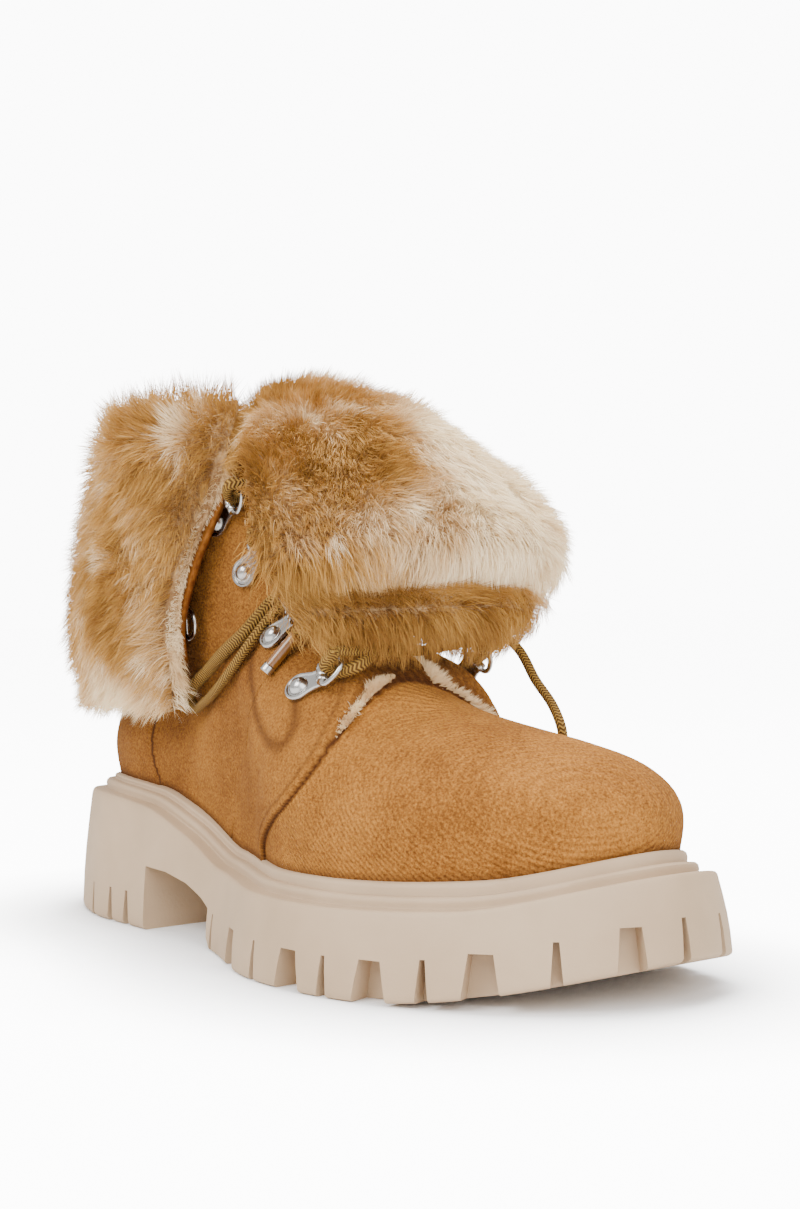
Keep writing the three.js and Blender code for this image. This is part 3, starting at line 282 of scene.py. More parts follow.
class DistanceMap:
    """Signed way to a line in one plane, more than zero inside, kept on a fine grid."""

    def __init__(self, region, line, low, high, step=0.8):
        self.low = np.array(low, float)
        self.step = step
        counts = np.ceil((np.array(high) - self.low) / step).astype(int) + 1
        u, v = np.meshgrid(*[self.low[k] + step * np.arange(counts[k]) for k in (0, 1)], indexing="ij")
        places = np.stack([u.ravel(), v.ravel()], axis=1)
        away = segment_distance(places, line[:-1], line[1:])
        signs = np.where(inside_polygon(places, region), 1.0, -1.0)
        self.values = (away * signs).reshape(u.shape)

    def at(self, u, v):
        p = np.clip((u - self.low[0]) / self.step, 0, self.values.shape[0] - 1.001)
        q = np.clip((v - self.low[1]) / self.step, 0, self.values.shape[1] - 1.001)
        i = p.astype(int)
        j = q.astype(int)
        s = p - i
        t = q - j
        grid = self.values
        return ((1 - s) * (1 - t) * grid[i, j] + s * (1 - t) * grid[i + 1, j]
                + (1 - s) * t * grid[i, j + 1] + s * t * grid[i + 1, j + 1])


feather_line = inset_outline(FEATHER_INSET)[::4]
feather_map = DistanceMap(
    feather_line,
    np.vstack([feather_line, feather_line[:1]]),
    (x_at(-0.02), -0.6 * BALL_WIDTH),
    (x_at(1.02), 0.6 * BALL_WIDTH),
)


def shaft_at(z):
    share = z / FOLD_HEIGHT
    back = x_at(look_up(shaft_rows, 1, share))
    front = x_at(look_up(shaft_rows, 2, share))
    return (back + front) / 2, (front - back) / 2, BALL_WIDTH * look_up(shaft_rows, 3, share)


SHAFT_POWER = 2.5


def shaft_field(x, y, z, grow):
    centre, depth, half = shaft_at(z)
    u = np.abs(x - centre) / (depth + grow)
    v = np.abs(y) / (half + grow)
    return (u ** SHAFT_POWER + v ** SHAFT_POWER) ** (1 / SHAFT_POWER) - 1


def form_field(x, y, z, grow):
    """Below zero inside the boot's form grown outwards."""
    rise = np.clip((z - platform_height(x)) / 22, 0, 1)
    tuck = (QUARTER_STEP + COUNTER_STEP) * smoothstep(-x, -x_at(0.6), -x_at(0.2))
    bulge = 2.4 * np.sin(rise * math.pi / 2) - tuck
    power = look_up(fullness_rows, 1, share_along(x))
    side = np.maximum(0, 1 - (feather_map.at(x, y) + bulge + grow) / (40 + grow))
    top_round = np.minimum(44, 0.86 * (vamp_height(x) - platform_height(x))) + grow
    top = np.maximum(0, 1 - (vamp_height(x) + grow - z) / top_round)
    foot = (side ** power + top ** power) ** (1 / power) - 1
    shaft = shaft_field(x, y, z, grow)
    h = np.maximum(0.1 - np.abs(foot - shaft), 0) / 0.1
    return np.minimum(foot, shaft) - h * h * 0.025


def cast(field, origins, directions, reach=140.0):
    near = np.zeros(len(origins))
    far = np.full(len(origins), reach)
    for _ in range(20):
        middle = (near + far) / 2
        inside = field(*(origins + directions * middle[:, None]).T) < 0
        near = np.where(inside, middle, near)
        far = np.where(inside, far, middle)
    return origins + directions * ((near + far) / 2)[:, None]


# Front edge of the quarters, the facings above it, and the heel counter's edge, in side view

quarter_rows = [
    (0.5234, 0.1282), (0.527, 0.2115), (0.5872, 0.2821), (0.6227, 0.3205), (0.6475, 0.3718),
    (0.6617, 0.4231), (0.6635, 0.4679), (0.6582, 0.5128), (0.6475, 0.5449), (0.6333, 0.5705),
    (0.6121, 0.5929), (0.5872, 0.6122),
]
facing_rows = [
    (0.5553, 0.6378), (0.5163, 0.6859), (0.4773, 0.75), (0.4383, 0.8462), (0.4064, 0.9359),
    (0.3957, 1.0),
]


def side_points(rows):
    return np.array([(x_at(row[0]), row[1] * FOLD_HEIGHT) for row in rows])


quarter_edge = curve_through(side_points(quarter_rows), 90)
facing_edge = curve_through(side_points(facing_rows), 40)
back_low = np.array([x_at(-0.2), 0.0])
back_high = np.array([x_at(-0.2), 1.6 * FOLD_HEIGHT])
facing_top = np.array([facing_edge[-1][0], 1.6 * FOLD_HEIGHT])
side_low = (x_at(-0.02), 0.0)
side_high = (x_at(1.02), 1.6 * FOLD_HEIGHT)
quarter_map = DistanceMap(
    np.vstack([[back_low], quarter_edge, facing_edge, [facing_top], [back_high]]),
    np.vstack([quarter_edge, facing_edge, [facing_top]]),
    side_low,
    side_high,
)


def corner_lift(x, y, z):
    """How far the quarters stand off the vamp, most round the corner of the eyestay."""
    away = np.hypot(x - x_at(0.626), z - 0.564 * FOLD_HEIGHT) / 20
    lift = 3 + 5.5 * smoothstep(y, -10, 22)
    return QUARTER_STEP + lift * np.exp(-away * away)


def quarter_field(x, y, z):
    return form_field(x, y, z, corner_lift(x, y, z))


def on_quarter(along, height, side):
    """Point of the quarter's outside at a place in side view, with the normal there."""
    start = np.array([[x_at(along), 0.0, height * FOLD_HEIGHT]])
    place = cast(quarter_field, start, np.array([[0.0, side, 0.0]]), BALL_WIDTH)
    shifts = 0.5 * np.eye(3)
    rise = [(quarter_field(*(place + s).T) - quarter_field(*(place - s).T))[0] for s in shifts]
    return place[0], unit(np.array(rise))


def lying_on(along, height, lift, side):
    place, normal = on_quarter(along, height, side)
    return place + normal * lift * LACE


# Meshes, tubes and materials

def new_mesh(name, points, faces, uv=None, values=None, smooth=True):
    """A mesh from millimetres, faces all of one size, with optional UV and named values."""
    mesh = bpy.data.meshes.new(name)
    faces = np.asarray(faces, np.int32)
    count, sides = faces.shape
    mesh.vertices.add(len(points))
    mesh.vertices.foreach_set("co", (np.asarray(points) * MM).astype(np.float32).ravel())
    mesh.loops.add(count * sides)
    mesh.loops.foreach_set("vertex_index", faces.ravel())
    mesh.polygons.add(count)
    mesh.polygons.foreach_set("loop_start", np.arange(0, count * sides, sides, dtype=np.int32))
    mesh.polygons.foreach_set("use_smooth", np.full(count, smooth))
    mesh.update(calc_edges=True)
    if uv is not None:
        layer = mesh.uv_layers.new(name="route")
        layer.data.foreach_set("uv", np.asarray(uv, np.float32)[faces.ravel()].ravel())
    for key, value in (values or {}).items():
        mesh.attributes.new(key, "FLOAT", "POINT").data.foreach_set("value", np.asarray(value, np.float32))
    piece = bpy.data.objects.new(name, mesh)
    bpy.context.scene.collection.objects.link(piece)
    return piece


def grid_faces(rows, columns, wrap=False):
    """Quads over a grid of points, its columns joined round when wrap is set."""
    i, j = np.meshgrid(np.arange(rows - 1), np.arange(columns if wrap else columns - 1), indexing="ij")
    k = (j + 1) % columns
    return np.stack([i * columns + j, i * columns + k, (i + 1) * columns + k, (i + 1) * columns + j],
                    axis=-1).reshape(-1, 4)


def dress(piece, slot, material, *nodes):
    """The piece rides on the boot, takes a material, and stands for its CAD nodes; the slot is not used."""
    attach(piece, "root")
    if nodes:
        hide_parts(*nodes)
    piece.data.materials.clear()
    piece.data.materials.append(material)
    return piece


def tube(name, path, radius, sides=12, flat=1.0, cap=True):
    """A round or flattened tube along a path, with the way along it in its UV map."""
    path = np.asarray(path, float)
    along = unit(np.gradient(path, axis=0))
    across = np.zeros_like(path)
    across[0] = unit(np.cross(along[0], (0.2, 0.3, 1.0)))
    for i in range(1, len(path)):
        across[i] = unit(across[i - 1] - along[i] * (across[i - 1] @ along[i]))
    up = np.cross(along, across)
    turn = np.linspace(0, 2 * math.pi, sides + 1)
    ring = (np.cos(turn)[None, :, None] * across[:, None] * radius
            + np.sin(turn)[None, :, None] * up[:, None] * radius * flat)
    points = (path[:, None] + ring).reshape(-1, 3)
    way = np.concatenate([[0], np.cumsum(np.linalg.norm(np.diff(path, axis=0), axis=1))])
    uv = np.stack(np.meshgrid(turn / (2 * math.pi), way), axis=-1).reshape(-1, 2)
    faces = grid_faces(len(path), sides + 1)
    piece = new_mesh(name, points, faces, uv=uv)
    if cap:
        close_ends(piece)
    return piece


def close_ends(piece):
    bpy.ops.object.select_all(action="DESELECT")
    piece.select_set(True)
    bpy.context.view_layer.objects.active = piece
    bpy.ops.object.mode_set(mode="EDIT")
    bpy.ops.mesh.select_all(action="SELECT")
    bpy.ops.mesh.remove_doubles(threshold=1e-6)
    bpy.ops.mesh.select_all(action="DESELECT")
    bpy.ops.mesh.select_non_manifold()
    bpy.ops.mesh.edge_face_add()
    bpy.ops.mesh.select_all(action="SELECT")
    bpy.ops.mesh.normals_make_consistent(inside=False)
    bpy.ops.object.mode_set(mode="OBJECT")


def noise(tree, scale, octaves=3.0, rough=0.55, vector=None):
    node = add_node(tree, "ShaderNodeTexNoise")
    if isinstance(scale, (int, float)):
        node.inputs["Scale"].default_value = scale
    else:
        tree.links.new(scale, node.inputs["Scale"])
    node.inputs["Detail"].default_value = octaves
    node.inputs["Roughness"].default_value = rough
    if vector is None:
        vector = add_node(tree, "ShaderNodeTexCoord").outputs["Object"]
    tree.links.new(vector, node.inputs["Vector"])
    return node.outputs["Fac"]


def ramp(tree, factor, stops):
    node = add_node(tree, "ShaderNodeValToRGB")
    band = node.color_ramp
    while len(band.elements) < len(stops):
        band.elements.new(0.5)
    for element, (at, color) in zip(band.elements, stops):
        element.position = at
        element.color = (*color, 1.0)
    tree.links.new(factor, node.inputs["Fac"])
    return node.outputs["Color"]


def mix(tree, factor, a, b, blend="MIX"):
    node = add_node(tree, "ShaderNodeMix", data_type="RGBA", blend_type=blend)
    for socket, value in ((node.inputs[0], factor), (node.inputs[6], a), (node.inputs[7], b)):
        if isinstance(value, (int, float)):
            socket.default_value = value
        elif isinstance(value, tuple):
            socket.default_value = (*value, 1.0)
        else:
            tree.links.new(value, socket)
    return node.outputs[2]


def bump(tree, surface, height, distance, strength=1.0):
    node = add_node(tree, "ShaderNodeBump")
    node.inputs["Strength"].default_value = strength
    node.inputs["Distance"].default_value = distance
    tree.links.new(height, node.inputs["Height"])
    tree.links.new(node.outputs["Normal"], surface.inputs["Normal"])


lace_braid, lace_tree, lace_surface = new_material("lace_braid", (0.28, 0.15, 0.04), 0.8)
lace_map = add_node(lace_tree, "ShaderNodeUVMap", uv_map="route")
lace_axes = add_node(lace_tree, "ShaderNodeSeparateXYZ")
lace_tree.links.new(lace_map.outputs["UV"], lace_axes.inputs[0])
round_it = lace_axes.outputs["X"]
along_it = lace_axes.outputs["Y"]
strand_share = calculate(lace_tree, "FRACT", calculate(lace_tree, "MULTIPLY", round_it, 4.0))
fold = calculate(lace_tree, "ABSOLUTE", calculate(lace_tree, "SUBTRACT", strand_share, 0.5))
slant = calculate(lace_tree, "ADD", calculate(lace_tree, "MULTIPLY", fold, 9.0),
                  calculate(lace_tree, "MULTIPLY", along_it, 6.0))
braid = calculate(lace_tree, "MULTIPLY_ADD", calculate(lace_tree, "SINE", slant), 0.5, 0.5)
# The braid's colour follows its relief: painted shade in the grooves and painted highlight on the crowns,
# over the lace's own brown
lace_color = ramp(lace_tree, braid, [(0.0, (0.07, 0.030, 0.006)), (0.45, (0.20, 0.098, 0.016)),
                                     (1.0, (0.40, 0.225, 0.045))])
lace_tree.links.new(lace_color, lace_surface.inputs["Base Color"])
lace_surface.inputs["Specular IOR Level"].default_value = 0.2
bump(lace_tree, lace_surface, braid, 0.0005)

sleeve_resin, _, sleeve_surface = new_material("sleeve_resin", (0.19, 0.075, 0.014), 0.2)
sleeve_surface.inputs["Coat Weight"].default_value = 0.5
SLEEVE_LENGTH = 14.3
LACE_HALF = 0.61 * LACE
LACE_FLAT = 0.72

nickel, nickel_tree, nickel_surface = new_material("nickel", (0.47, 0.455, 0.43), 0.2, 1.0)
wear = noise(nickel_tree, 260.0)
nickel_tree.links.new(calculate(nickel_tree, "MULTIPLY_ADD", wear, 0.25, 0.12),
                      nickel_surface.inputs["Roughness"])
bump(nickel_tree, nickel_surface, wear, 0.0001, 0.3)

knot_place = np.array([x_at(0.472), 0.0, 0.85 * FOLD_HEIGHT])
knot_size = np.array([9.0, 12.0, 9.0])


def knot_side(x, y, z):
    return knot_place + np.array([x, y, z]) * knot_size


loop_rows = [
    (0.484, 0.702, 0.75), (0.474, 0.66, 0.75), (0.458, 0.625, 0.75), (0.422, 0.589, 0.75),
    (0.37, 0.552, 1.0), (0.333, 0.519, 1.1), (0.317, 0.49, 0.85), (0.33, 0.469, 0.75),
    (0.365, 0.482, 0.75), (0.407, 0.512, 0.75), (0.453, 0.558, 0.75), (0.482, 0.605, 0.75),
    (0.496, 0.655, 0.75), (0.502, 0.702, 0.75),
]
sleeve_rows = [(0.5505, 0.612, 1.15), (0.534, 0.525, 0.9)]
inner_end_rows = [
    (0.545, 0.19, 0.76), (0.6, 0.3, 0.66), (0.641, 0.352, 0.59), (0.665, 0.36, 0.53),
    (0.69, 0.365, 0.482),
]
inner_sleeve_rows = [(0.7055, 0.37, 0.405), (0.701, 0.405, 0.305)]


def space_point(row):
    return np.array([x_at(row[0]), row[1] * BALL_WIDTH, row[2] * FOLD_HEIGHT])


def sleeve_lead(start, end):
    return start + 0.35 * (start - end)


def loop_route(side):
    return [knot_side(0.46, side * 0.38, -0.1), knot_side(1.5, side * 1.05, -0.85),
            *[lying_on(*row, side) for row in loop_rows],
            knot_side(2.1, side * 1.3, -1.6), knot_side(1.6, side * 0.6, -0.7),
            knot_side(0.5, side * 0.12, -0.35)]


outer_sleeve = [lying_on(*row, -1) for row in sleeve_rows]
inner_sleeve = [space_point(row) for row in inner_sleeve_rows]
routes = {
    "lace_loop_outer": loop_route(-1),
    "lace_loop_inner": loop_route(1),
    "lace_end_outer": [
        knot_side(0.55, -0.15, 0.25), knot_side(2.3, -0.75, -0.6), knot_side(3.75, -1.25, -1.7),
        knot_side(3.7, -1.75, -3.2), sleeve_lead(*outer_sleeve), outer_sleeve[0]],
    "lace_end_inner": [
        knot_side(0.55, 0.15, 0.25), knot_side(2.1, 0.9, -0.6),
        *[space_point(row) for row in inner_end_rows], sleeve_lead(*inner_sleeve), inner_sleeve[0]],
}


def make_sleeve(node, start, end):
    """The sleeve on a lace's end: a dark resin tube with a bright collar at its tip."""
    along = unit(end - start)
    path = [start + along * way for way in np.linspace(CLEARANCE, SLEEVE_LENGTH, 12)]
    collar = [start + along * way for way in np.linspace(SLEEVE_LENGTH - 2.2, SLEEVE_LENGTH + 0.3, 6)]
    dress(tube(node + "_collar", collar, 0.5 * (LACE + 0.9), sides=20), "nickel", nickel)
    return dress(tube(node + "_resin", path, 0.5 * (LACE + 0.5), sides=20), "sleeve", sleeve_resin, node)


ends = {
    "lace_end_outer": make_sleeve("sleeve_outer", *outer_sleeve),
    "lace_end_inner": make_sleeve("sleeve_inner", *inner_sleeve),
}
for node, route in routes.items():
    path = curve_through(route, 140)
    braid_piece = dress(tube(node + "_braid", path, LACE_HALF, 14, LACE_FLAT), "lace", lace_braid, node)

# The knot of the bow: two turns of the lace wound round each other
knot_turn = np.linspace(0, 4 * math.pi, 90)
knot_path = np.stack([
    2.6 * np.cos(1.5 * knot_turn) * (1 + 0.2 * np.cos(knot_turn)),
    4.1 * np.sin(knot_turn * 0.5 + 0.4),
    2.5 * np.sin(1.5 * knot_turn),
], axis=1) + knot_place
dress(tube("lace_knot_braid", knot_path, 0.45 * LACE, sides=12), "lace", lace_braid, "lace_knot")

# Metal: each clip is a plate with a raised rim and a domed rivet, rolled into a barrel that
# holds a wire ring. Four stand up each facing, and the lace runs through their rings.
PLATE_WIDTH = 9.6
PLATE_THICKNESS = 1.0
BARREL_WIDTH = 6.8
BARREL_MIDDLE = 8.8
BARREL_RISE = 1.9
BARREL_RADIUS = 1.95
WIRE = 1.6
RING_WIDTH = 11.4
RING_REACH = 9.2
RIVET_DIAMETER = 6.2
RIVET_HEIGHT = 2.2
# Place of the rivet in side view, heading of the clip, swing of its ring, lift
clip_rows = [
    (0.599, 0.53, 40, 13, 0.6), (0.514, 0.625, 58, 24, 0.6), (0.427, 0.753, 50, 18, 0.5),
    (0.381, 0.859, 40, 12, 0.5),
]


def clip_frame(row, side):
    """Axes of a clip: along its plate to the ring, across, and off the quarter."""
    place, normal = on_quarter(row[0], row[1], side)
    heading = math.radians(row[2])
    along = np.array([math.cos(heading), 0.0, math.sin(heading)])
    along = unit(along - normal * (along @ normal))
    return np.stack([along, np.cross(normal, along), normal]), place + normal * row[4]


def placed(points, axes_place):
    axes, place = axes_place
    return np.asarray(points) @ axes + place


def lathe(profile, sides):
    turn = np.linspace(0, 2 * math.pi, sides, endpoint=False)
    rings = [np.stack([r * np.cos(turn), r * np.sin(turn), np.full(sides, h)], axis=1) for r, h in profile]
    return np.vstack(rings), grid_faces(len(profile), sides, wrap=True)


def assemble(name, parts):
    """One mesh from several lists of points and quads, with its ends closed."""
    points = np.vstack([part[0] for part in parts])
    starts = np.cumsum([0] + [len(part[0]) for part in parts[:-1]])
    faces = np.vstack([part[1] + start for part, start in zip(parts, starts)])
    piece = new_mesh(name, points, faces)
    close_ends(piece)
    return piece


def smooth_by_angle(piece, degrees):
    bpy.ops.object.select_all(action="DESELECT")
    piece.select_set(True)
    bpy.context.view_layer.objects.active = piece
    bpy.ops.object.shade_smooth_by_angle(angle=math.radians(degrees))


def plate_outline(inset):
    """Round end about the rivet, narrowing to the barrel."""
    end = PLATE_WIDTH / 2 - inset
    neck = BARREL_WIDTH / 2 - inset
    turn = np.radians(np.linspace(62, 298, 30))
    arc = np.stack([end * np.cos(turn), end * np.sin(turn)], axis=1)
    reach = BARREL_MIDDLE - 0.4 - inset
    straight = [[reach, -neck], [reach, 0.0], [reach, neck], [0.6 * reach, neck]]
    return np.vstack([arc, [[0.6 * reach, -neck]], straight])


def make_plate():
    levels = [(0.25, 0.0), (0.0, 0.25), (0.0, 1.0), (0.2, 1.3), (0.75, 1.35), (1.1, 1.0), (3.0, 0.95)]
    rings = []
    for inset, height in levels:
        flat = plate_outline(inset)
        rings.append(np.column_stack([flat, np.full(len(flat), height * PLATE_THICKNESS)]))
    return np.vstack(rings), grid_faces(len(rings), len(rings[0]), wrap=True)


def make_rivet():
    dome = [(0.05, 1.0), (0.3, 0.97), (0.6, 0.8), (0.82, 0.5), (0.93, 0.16), (1.0, 0.1), (1.02, -0.2)]
    return lathe([(0.5 * RIVET_DIAMETER * r, PLATE_THICKNESS + RIVET_HEIGHT * h) for r, h in dome], 28)


def make_barrel():
    """Rolled end of the plate, with two grooves round it."""
    half = BARREL_WIDTH / 2
    profile = []
    for share in np.linspace(-1, 1, 33):
        groove = 0.28 * (math.exp(-((share - 0.42) / 0.07) ** 2) + math.exp(-((share + 0.42) / 0.07) ** 2))
        edge = 0.3 * abs(share) ** 12
        profile.append((BARREL_RADIUS - groove - edge, share * half))
    points, faces = lathe(profile, 22)
    turned = np.stack([points[:, 0], points[:, 2], points[:, 1]], axis=1)
    return turned + np.array([BARREL_MIDDLE, 0, BARREL_RISE]), faces[:, ::-1]


def ring_line(swing):
    half = RING_WIDTH / 2 - WIRE / 2
    reach = RING_REACH - WIRE
    corners = np.array([
        [0, -0.75 * half], [0, 0], [0, 0.75 * half], [0.16 * reach, half], [0.55 * reach, 0.9 * half],
        [0.9 * reach, 0.5 * half], [reach, 0], [0.9 * reach, -0.5 * half],
        [0.55 * reach, -0.9 * half], [0.16 * reach, -half]])
    line = curve_through(corners, 72, closed=True)
    return np.stack([
        BARREL_MIDDLE + line[:, 0] * math.cos(swing),
        line[:, 1],
        BARREL_RISE + line[:, 0] * math.sin(swing)], axis=1)


def closed_tube(line, radius, sides):
    along = unit(np.roll(line, -1, axis=0) - np.roll(line, 1, axis=0))
    flat = unit(np.cross(line[10] - line[0], line[30] - line[0]))
    out = np.cross(along, flat)
    turn = np.linspace(0, 2 * math.pi, sides, endpoint=False)
    points = (line[:, None] + radius * (np.cos(turn)[None, :, None] * out[:, None]
                                        + np.sin(turn)[None, :, None] * flat))
    faces = []
    for i in range(len(line)):
        for j in range(sides):
            k = (j + 1) % sides
            n = (i + 1) % len(line)
            faces.append((i * sides + j, i * sides + k, n * sides + k, n * sides + j))
    return points.reshape(-1, 3), np.array(faces)


for number, row in enumerate(clip_rows, start=1):
    for name, side in (("outer", -1), ("inner", 1)):
        seat = clip_frame(row, side)
        clip_parts = [(placed(points, seat), faces)
                      for points, faces in (make_plate(), make_rivet(), make_barrel())]
        clip = assemble(f"clip_{name}_{number}_metal", clip_parts)
        smooth_by_angle(clip, 40)
        dress(clip, "nickel", nickel, f"clip_{name}_{number}")
        wire_points, wire_faces = closed_tube(ring_line(math.radians(row[3])), WIRE / 2, 12)
        wire = assemble(f"ring_{name}_{number}_wire", [(placed(wire_points, seat), wire_faces)])
        dress(wire, "nickel", nickel, f"ring_{name}_{number}")

# A further ring shows under the flap's edge on the outer side
rear_seat = clip_frame((0.299, 0.65, 0, 10, 0.8), -1)
rear_points, rear_faces = closed_tube(ring_line(math.radians(10)), WIRE / 2, 12)
dress(assemble("ring_outer_rear_wire", [(placed(rear_points, rear_seat), rear_faces)]), "nickel", nickel)

# The lace through the rings: over each arc, down through the hole and out under the arc.
ring_pass = [(1.25, 1.3), (0.4, 0.54), (0.4, -0.54), (1.36, -1.34)]
tongue_rows = [
    (0.534, 0.5577, 0.132, 0.047), (0.4986, 0.6218, 0.16, 0.071), (0.4631, 0.6987, 0.175, 0.08),
    (0.4277, 0.7885, 0.179, 0.08), (0.4064, 0.8846, 0.189, 0.066), (0.3957, 0.9615, 0.17, 0.038),
    (0.3993, 1.0128, 0.17, 0.024), (0.4206, 1.0481, 0.198, 0.019), (0.4525, 1.0545, 0.226, 0.019),
    (0.495, 1.0256, 0.292, 0.028), (0.5518, 0.9615, 0.358, 0.038), (0.6014, 0.8526, 0.396, 0.047),
    (0.6262, 0.75, 0.396, 0.057), (0.6369, 0.6731, 0.358, 0.066),
]
rising_rows = [(height, along) for along, height, _, _ in tongue_rows[:7]]


def through_ring(row, side):
    swing = math.radians(row[3])
    seat = clip_frame(row, side)
    places = []
    for out, over in ring_pass:
        reach = out * (RING_REACH - WIRE)
        rise = over * LACE
        places.append((
            BARREL_MIDDLE + reach * math.cos(swing) - rise * math.sin(swing),
            0.0,
            BARREL_RISE + reach * math.sin(swing) + rise * math.cos(swing)))
    return list(placed(places, seat))


def cross_middle(a, b, rise):
    middle = (a + b) / 2 + np.array([0, 0, rise])
    front = x_at(look_up(rising_rows, 1, middle[2] / FOLD_HEIGHT)) + TONGUE_THICKNESS / 2
    middle[0] = max(middle[0], front + 0.9 * LACE)
    return middle


first = through_ring(clip_rows[0], -1)
opposite = through_ring(clip_rows[0], 1)
runs = [list(first), [first[0], cross_middle(first[0], opposite[0], -2), *opposite]]
for run, start in zip(runs, (-1, 1)):
    for i in range(1, len(clip_rows)):
        following = through_ring(clip_rows[i], -start if i % 2 else start)
        run += [cross_middle(run[-1], following[0], start), *following]
    toward = math.copysign(knot_size[1] / 2 + LACE / 2 + CLEARANCE, run[-1][1])
    run.append(knot_place + np.array([0, toward, -1]))
for number, run in enumerate(runs, start=1):
    strand = tube(f"lace_bars_{number}", curve_through(run, 360), LACE_HALF, 12, LACE_FLAT)
    dress(strand, "lace", lace_braid, "lace_bars")

# Sole: one moulding of firm rubber with a rounded rim, two ribs under the upper, a raised
# heel and lugs round the edge of its tread.
RIB_WIDTH = 3.1
LEDGE_WIDTH = 4.6
ARCH_HEIGHT = 21.0
HEEL_BREAST = 42.0
ARCH_END = 86.0
LUG_HEIGHT = 11.5
rib_a = RIM_INSET + LEDGE_WIDTH
rib_b = rib_a + RIB_WIDTH
# Inset from the outline, share of the way from the ground to the rim, shares of the two ribs
side_profile = [
    (1.6, 0.0, 0, 0), (0.9, 0.005, 0, 0), (0.25, 0.02, 0, 0), (0.0, 0.045, 0, 0),
    (0.15, 0.12, 0, 0), (0.55, 0.3, 0, 0), (1.3, 0.5, 0, 0), (2.3, 0.7, 0, 0), (3.2, 0.86, 0, 0),
    (3.6, 0.93, 0, 0), (3.85, 0.965, 0, 0), (4.3, 0.99, 0, 0), (4.9, 1.0, 0, 0),
    (rib_a - 1.4, 1.0, 0, 0), (rib_a - 0.6, 1.0, 0.02, 0), (rib_a - 0.35, 1.0, 0.18, 0),
    (rib_a - 0.5, 1.0, 0.45, 0), (rib_a - 0.3, 1.0, 0.75, 0), (rib_a + 0.35, 1.0, 0.95, 0),
    (rib_a + 1.3, 1.0, 1.0, 0), (rib_b - 0.7, 1.0, 0.97, 0), (rib_b - 0.35, 1.0, 1.0, 0.2),
    (rib_b - 0.45, 1.0, 1.0, 0.5), (rib_b - 0.15, 1.0, 1.0, 0.8), (rib_b + 0.6, 1.0, 1.0, 0.97),
    (rib_b + 1.8, 1.0, 1.0, 1.0), (rib_b + 6.0, 1.0, 1.0, 1.0),
]
sole_rings = []
for inset, share, lower, upper in side_profile:
    flat = inset_outline(inset)
    ground = ground_height(flat[:, 0])
    height = (ground + (rim_height(flat[:, 0]) - ground) * share
              + lower * look_up(rib_rows, 1, share_along(flat[:, 0]))
              + upper * look_up(rib_rows, 2, share_along(flat[:, 0])))
    sole_rings.append(np.column_stack([flat, height]))


def cap_line(ring):
    """The ring squeezed onto its middle line, which closes a flat end without long slivers."""
    partner = np.roll(ring[::-1], 1, axis=0)
    return (ring + partner) / 2


sole_rings = [cap_line(sole_rings[0])] + sole_rings + [cap_line(sole_rings[-1])]
sole = assemble("sole_rubber", [
    (np.vstack(sole_rings), grid_faces(len(sole_rings), OUTLINE_STEPS, wrap=True))])

# Place round the outline, half width and depth of each notch
notch_rows = [
    (0.051, 1.3, 5), (0.0915, 1.4, 5), (0.113, 1.9, 5), (0.1315, 2.1, 5), (0.222, 1.2, 5),
    (0.264, 5.2, 8), (0.2985, 1.5, 6), (0.3245, 5.4, 8), (0.347, 1.9, 6), (0.3735, 5.6, 8),
    (0.398, 2.2, 6), (0.4225, 5.6, 8), (0.4525, 2.3, 6), (0.482, 5.0, 7), (0.509, 2.1, 6),
    (0.535, 2.2, 6), (0.562, 5.0, 7), (0.59, 2.2, 6), (0.617, 5.4, 8), (0.643, 2.0, 6),
    (0.669, 5.4, 8), (0.696, 1.9, 6), (0.723, 5.2, 8), (0.749, 1.4, 5), (0.873, 2.0, 5),
    (0.895, 1.9, 5), (0.918, 1.5, 5), (0.957, 1.3, 5),
]
box_faces = np.array([(0, 3, 2, 1), (4, 5, 6, 7), (0, 1, 5, 4), (1, 2, 6, 5), (2, 3, 7, 6), (3, 0, 4, 7)])


def notch_cutter(place, half, depth):
    index = int(round(place * OUTLINE_STEPS)) % OUTLINE_STEPS
    point = outline[index]
    along = unit(outline[(index + 1) % OUTLINE_STEPS] - outline[index - 1])
    inward = np.array([-along[1], along[0]])
    roof = half * (0.62 if half > 3 else 0.35)
    top = ground_height(point[0]) + LUG_HEIGHT
    corners = []
    for way in (depth, -4.0):
        for shift, height in ((-1.15 * half, -3), (1.15 * half, -3), (roof, top), (-roof, top)):
            flat = point + inward * way + along * shift
            corners.append((flat[0], flat[1], height))
    return np.array(corners), box_faces


def prism_across(shape):
    """A shape in side view, pushed right across the boot."""
    sides = len(shape)
    ring = [np.array([(x, y, z) for x, z in shape]) for y in (-BALL_WIDTH, BALL_WIDTH)]
    return np.vstack(ring), grid_faces(2, sides, wrap=True)


def groove_cutter(along, half):
    x = x_at(along)
    top = 4 + 2 * ground_height(x)
    middle = -4.0 if along > 0.4 else 0.0
    corners = [(x + a, middle + b, z) for z in (-top, top)
               for a, b in ((-3, -half), (3, -half), (3, half), (-3, half))]
    return np.array(corners), box_faces


arch_span = ARCH_END - HEEL_BREAST
arch_shape = [
    (HEEL_BREAST, -1), (HEEL_BREAST, ARCH_HEIGHT), (HEEL_BREAST + 0.3 * arch_span, 0.975 * ARCH_HEIGHT),
    (HEEL_BREAST + 0.6 * arch_span, 0.875 * ARCH_HEIGHT),
    (HEEL_BREAST + 0.85 * arch_span, 0.72 * ARCH_HEIGHT),
    (ARCH_END - 0.5, 0.6 * ARCH_HEIGHT), (ARCH_END, 0.18 * ARCH_HEIGHT), (ARCH_END + 4.5, -1),
]
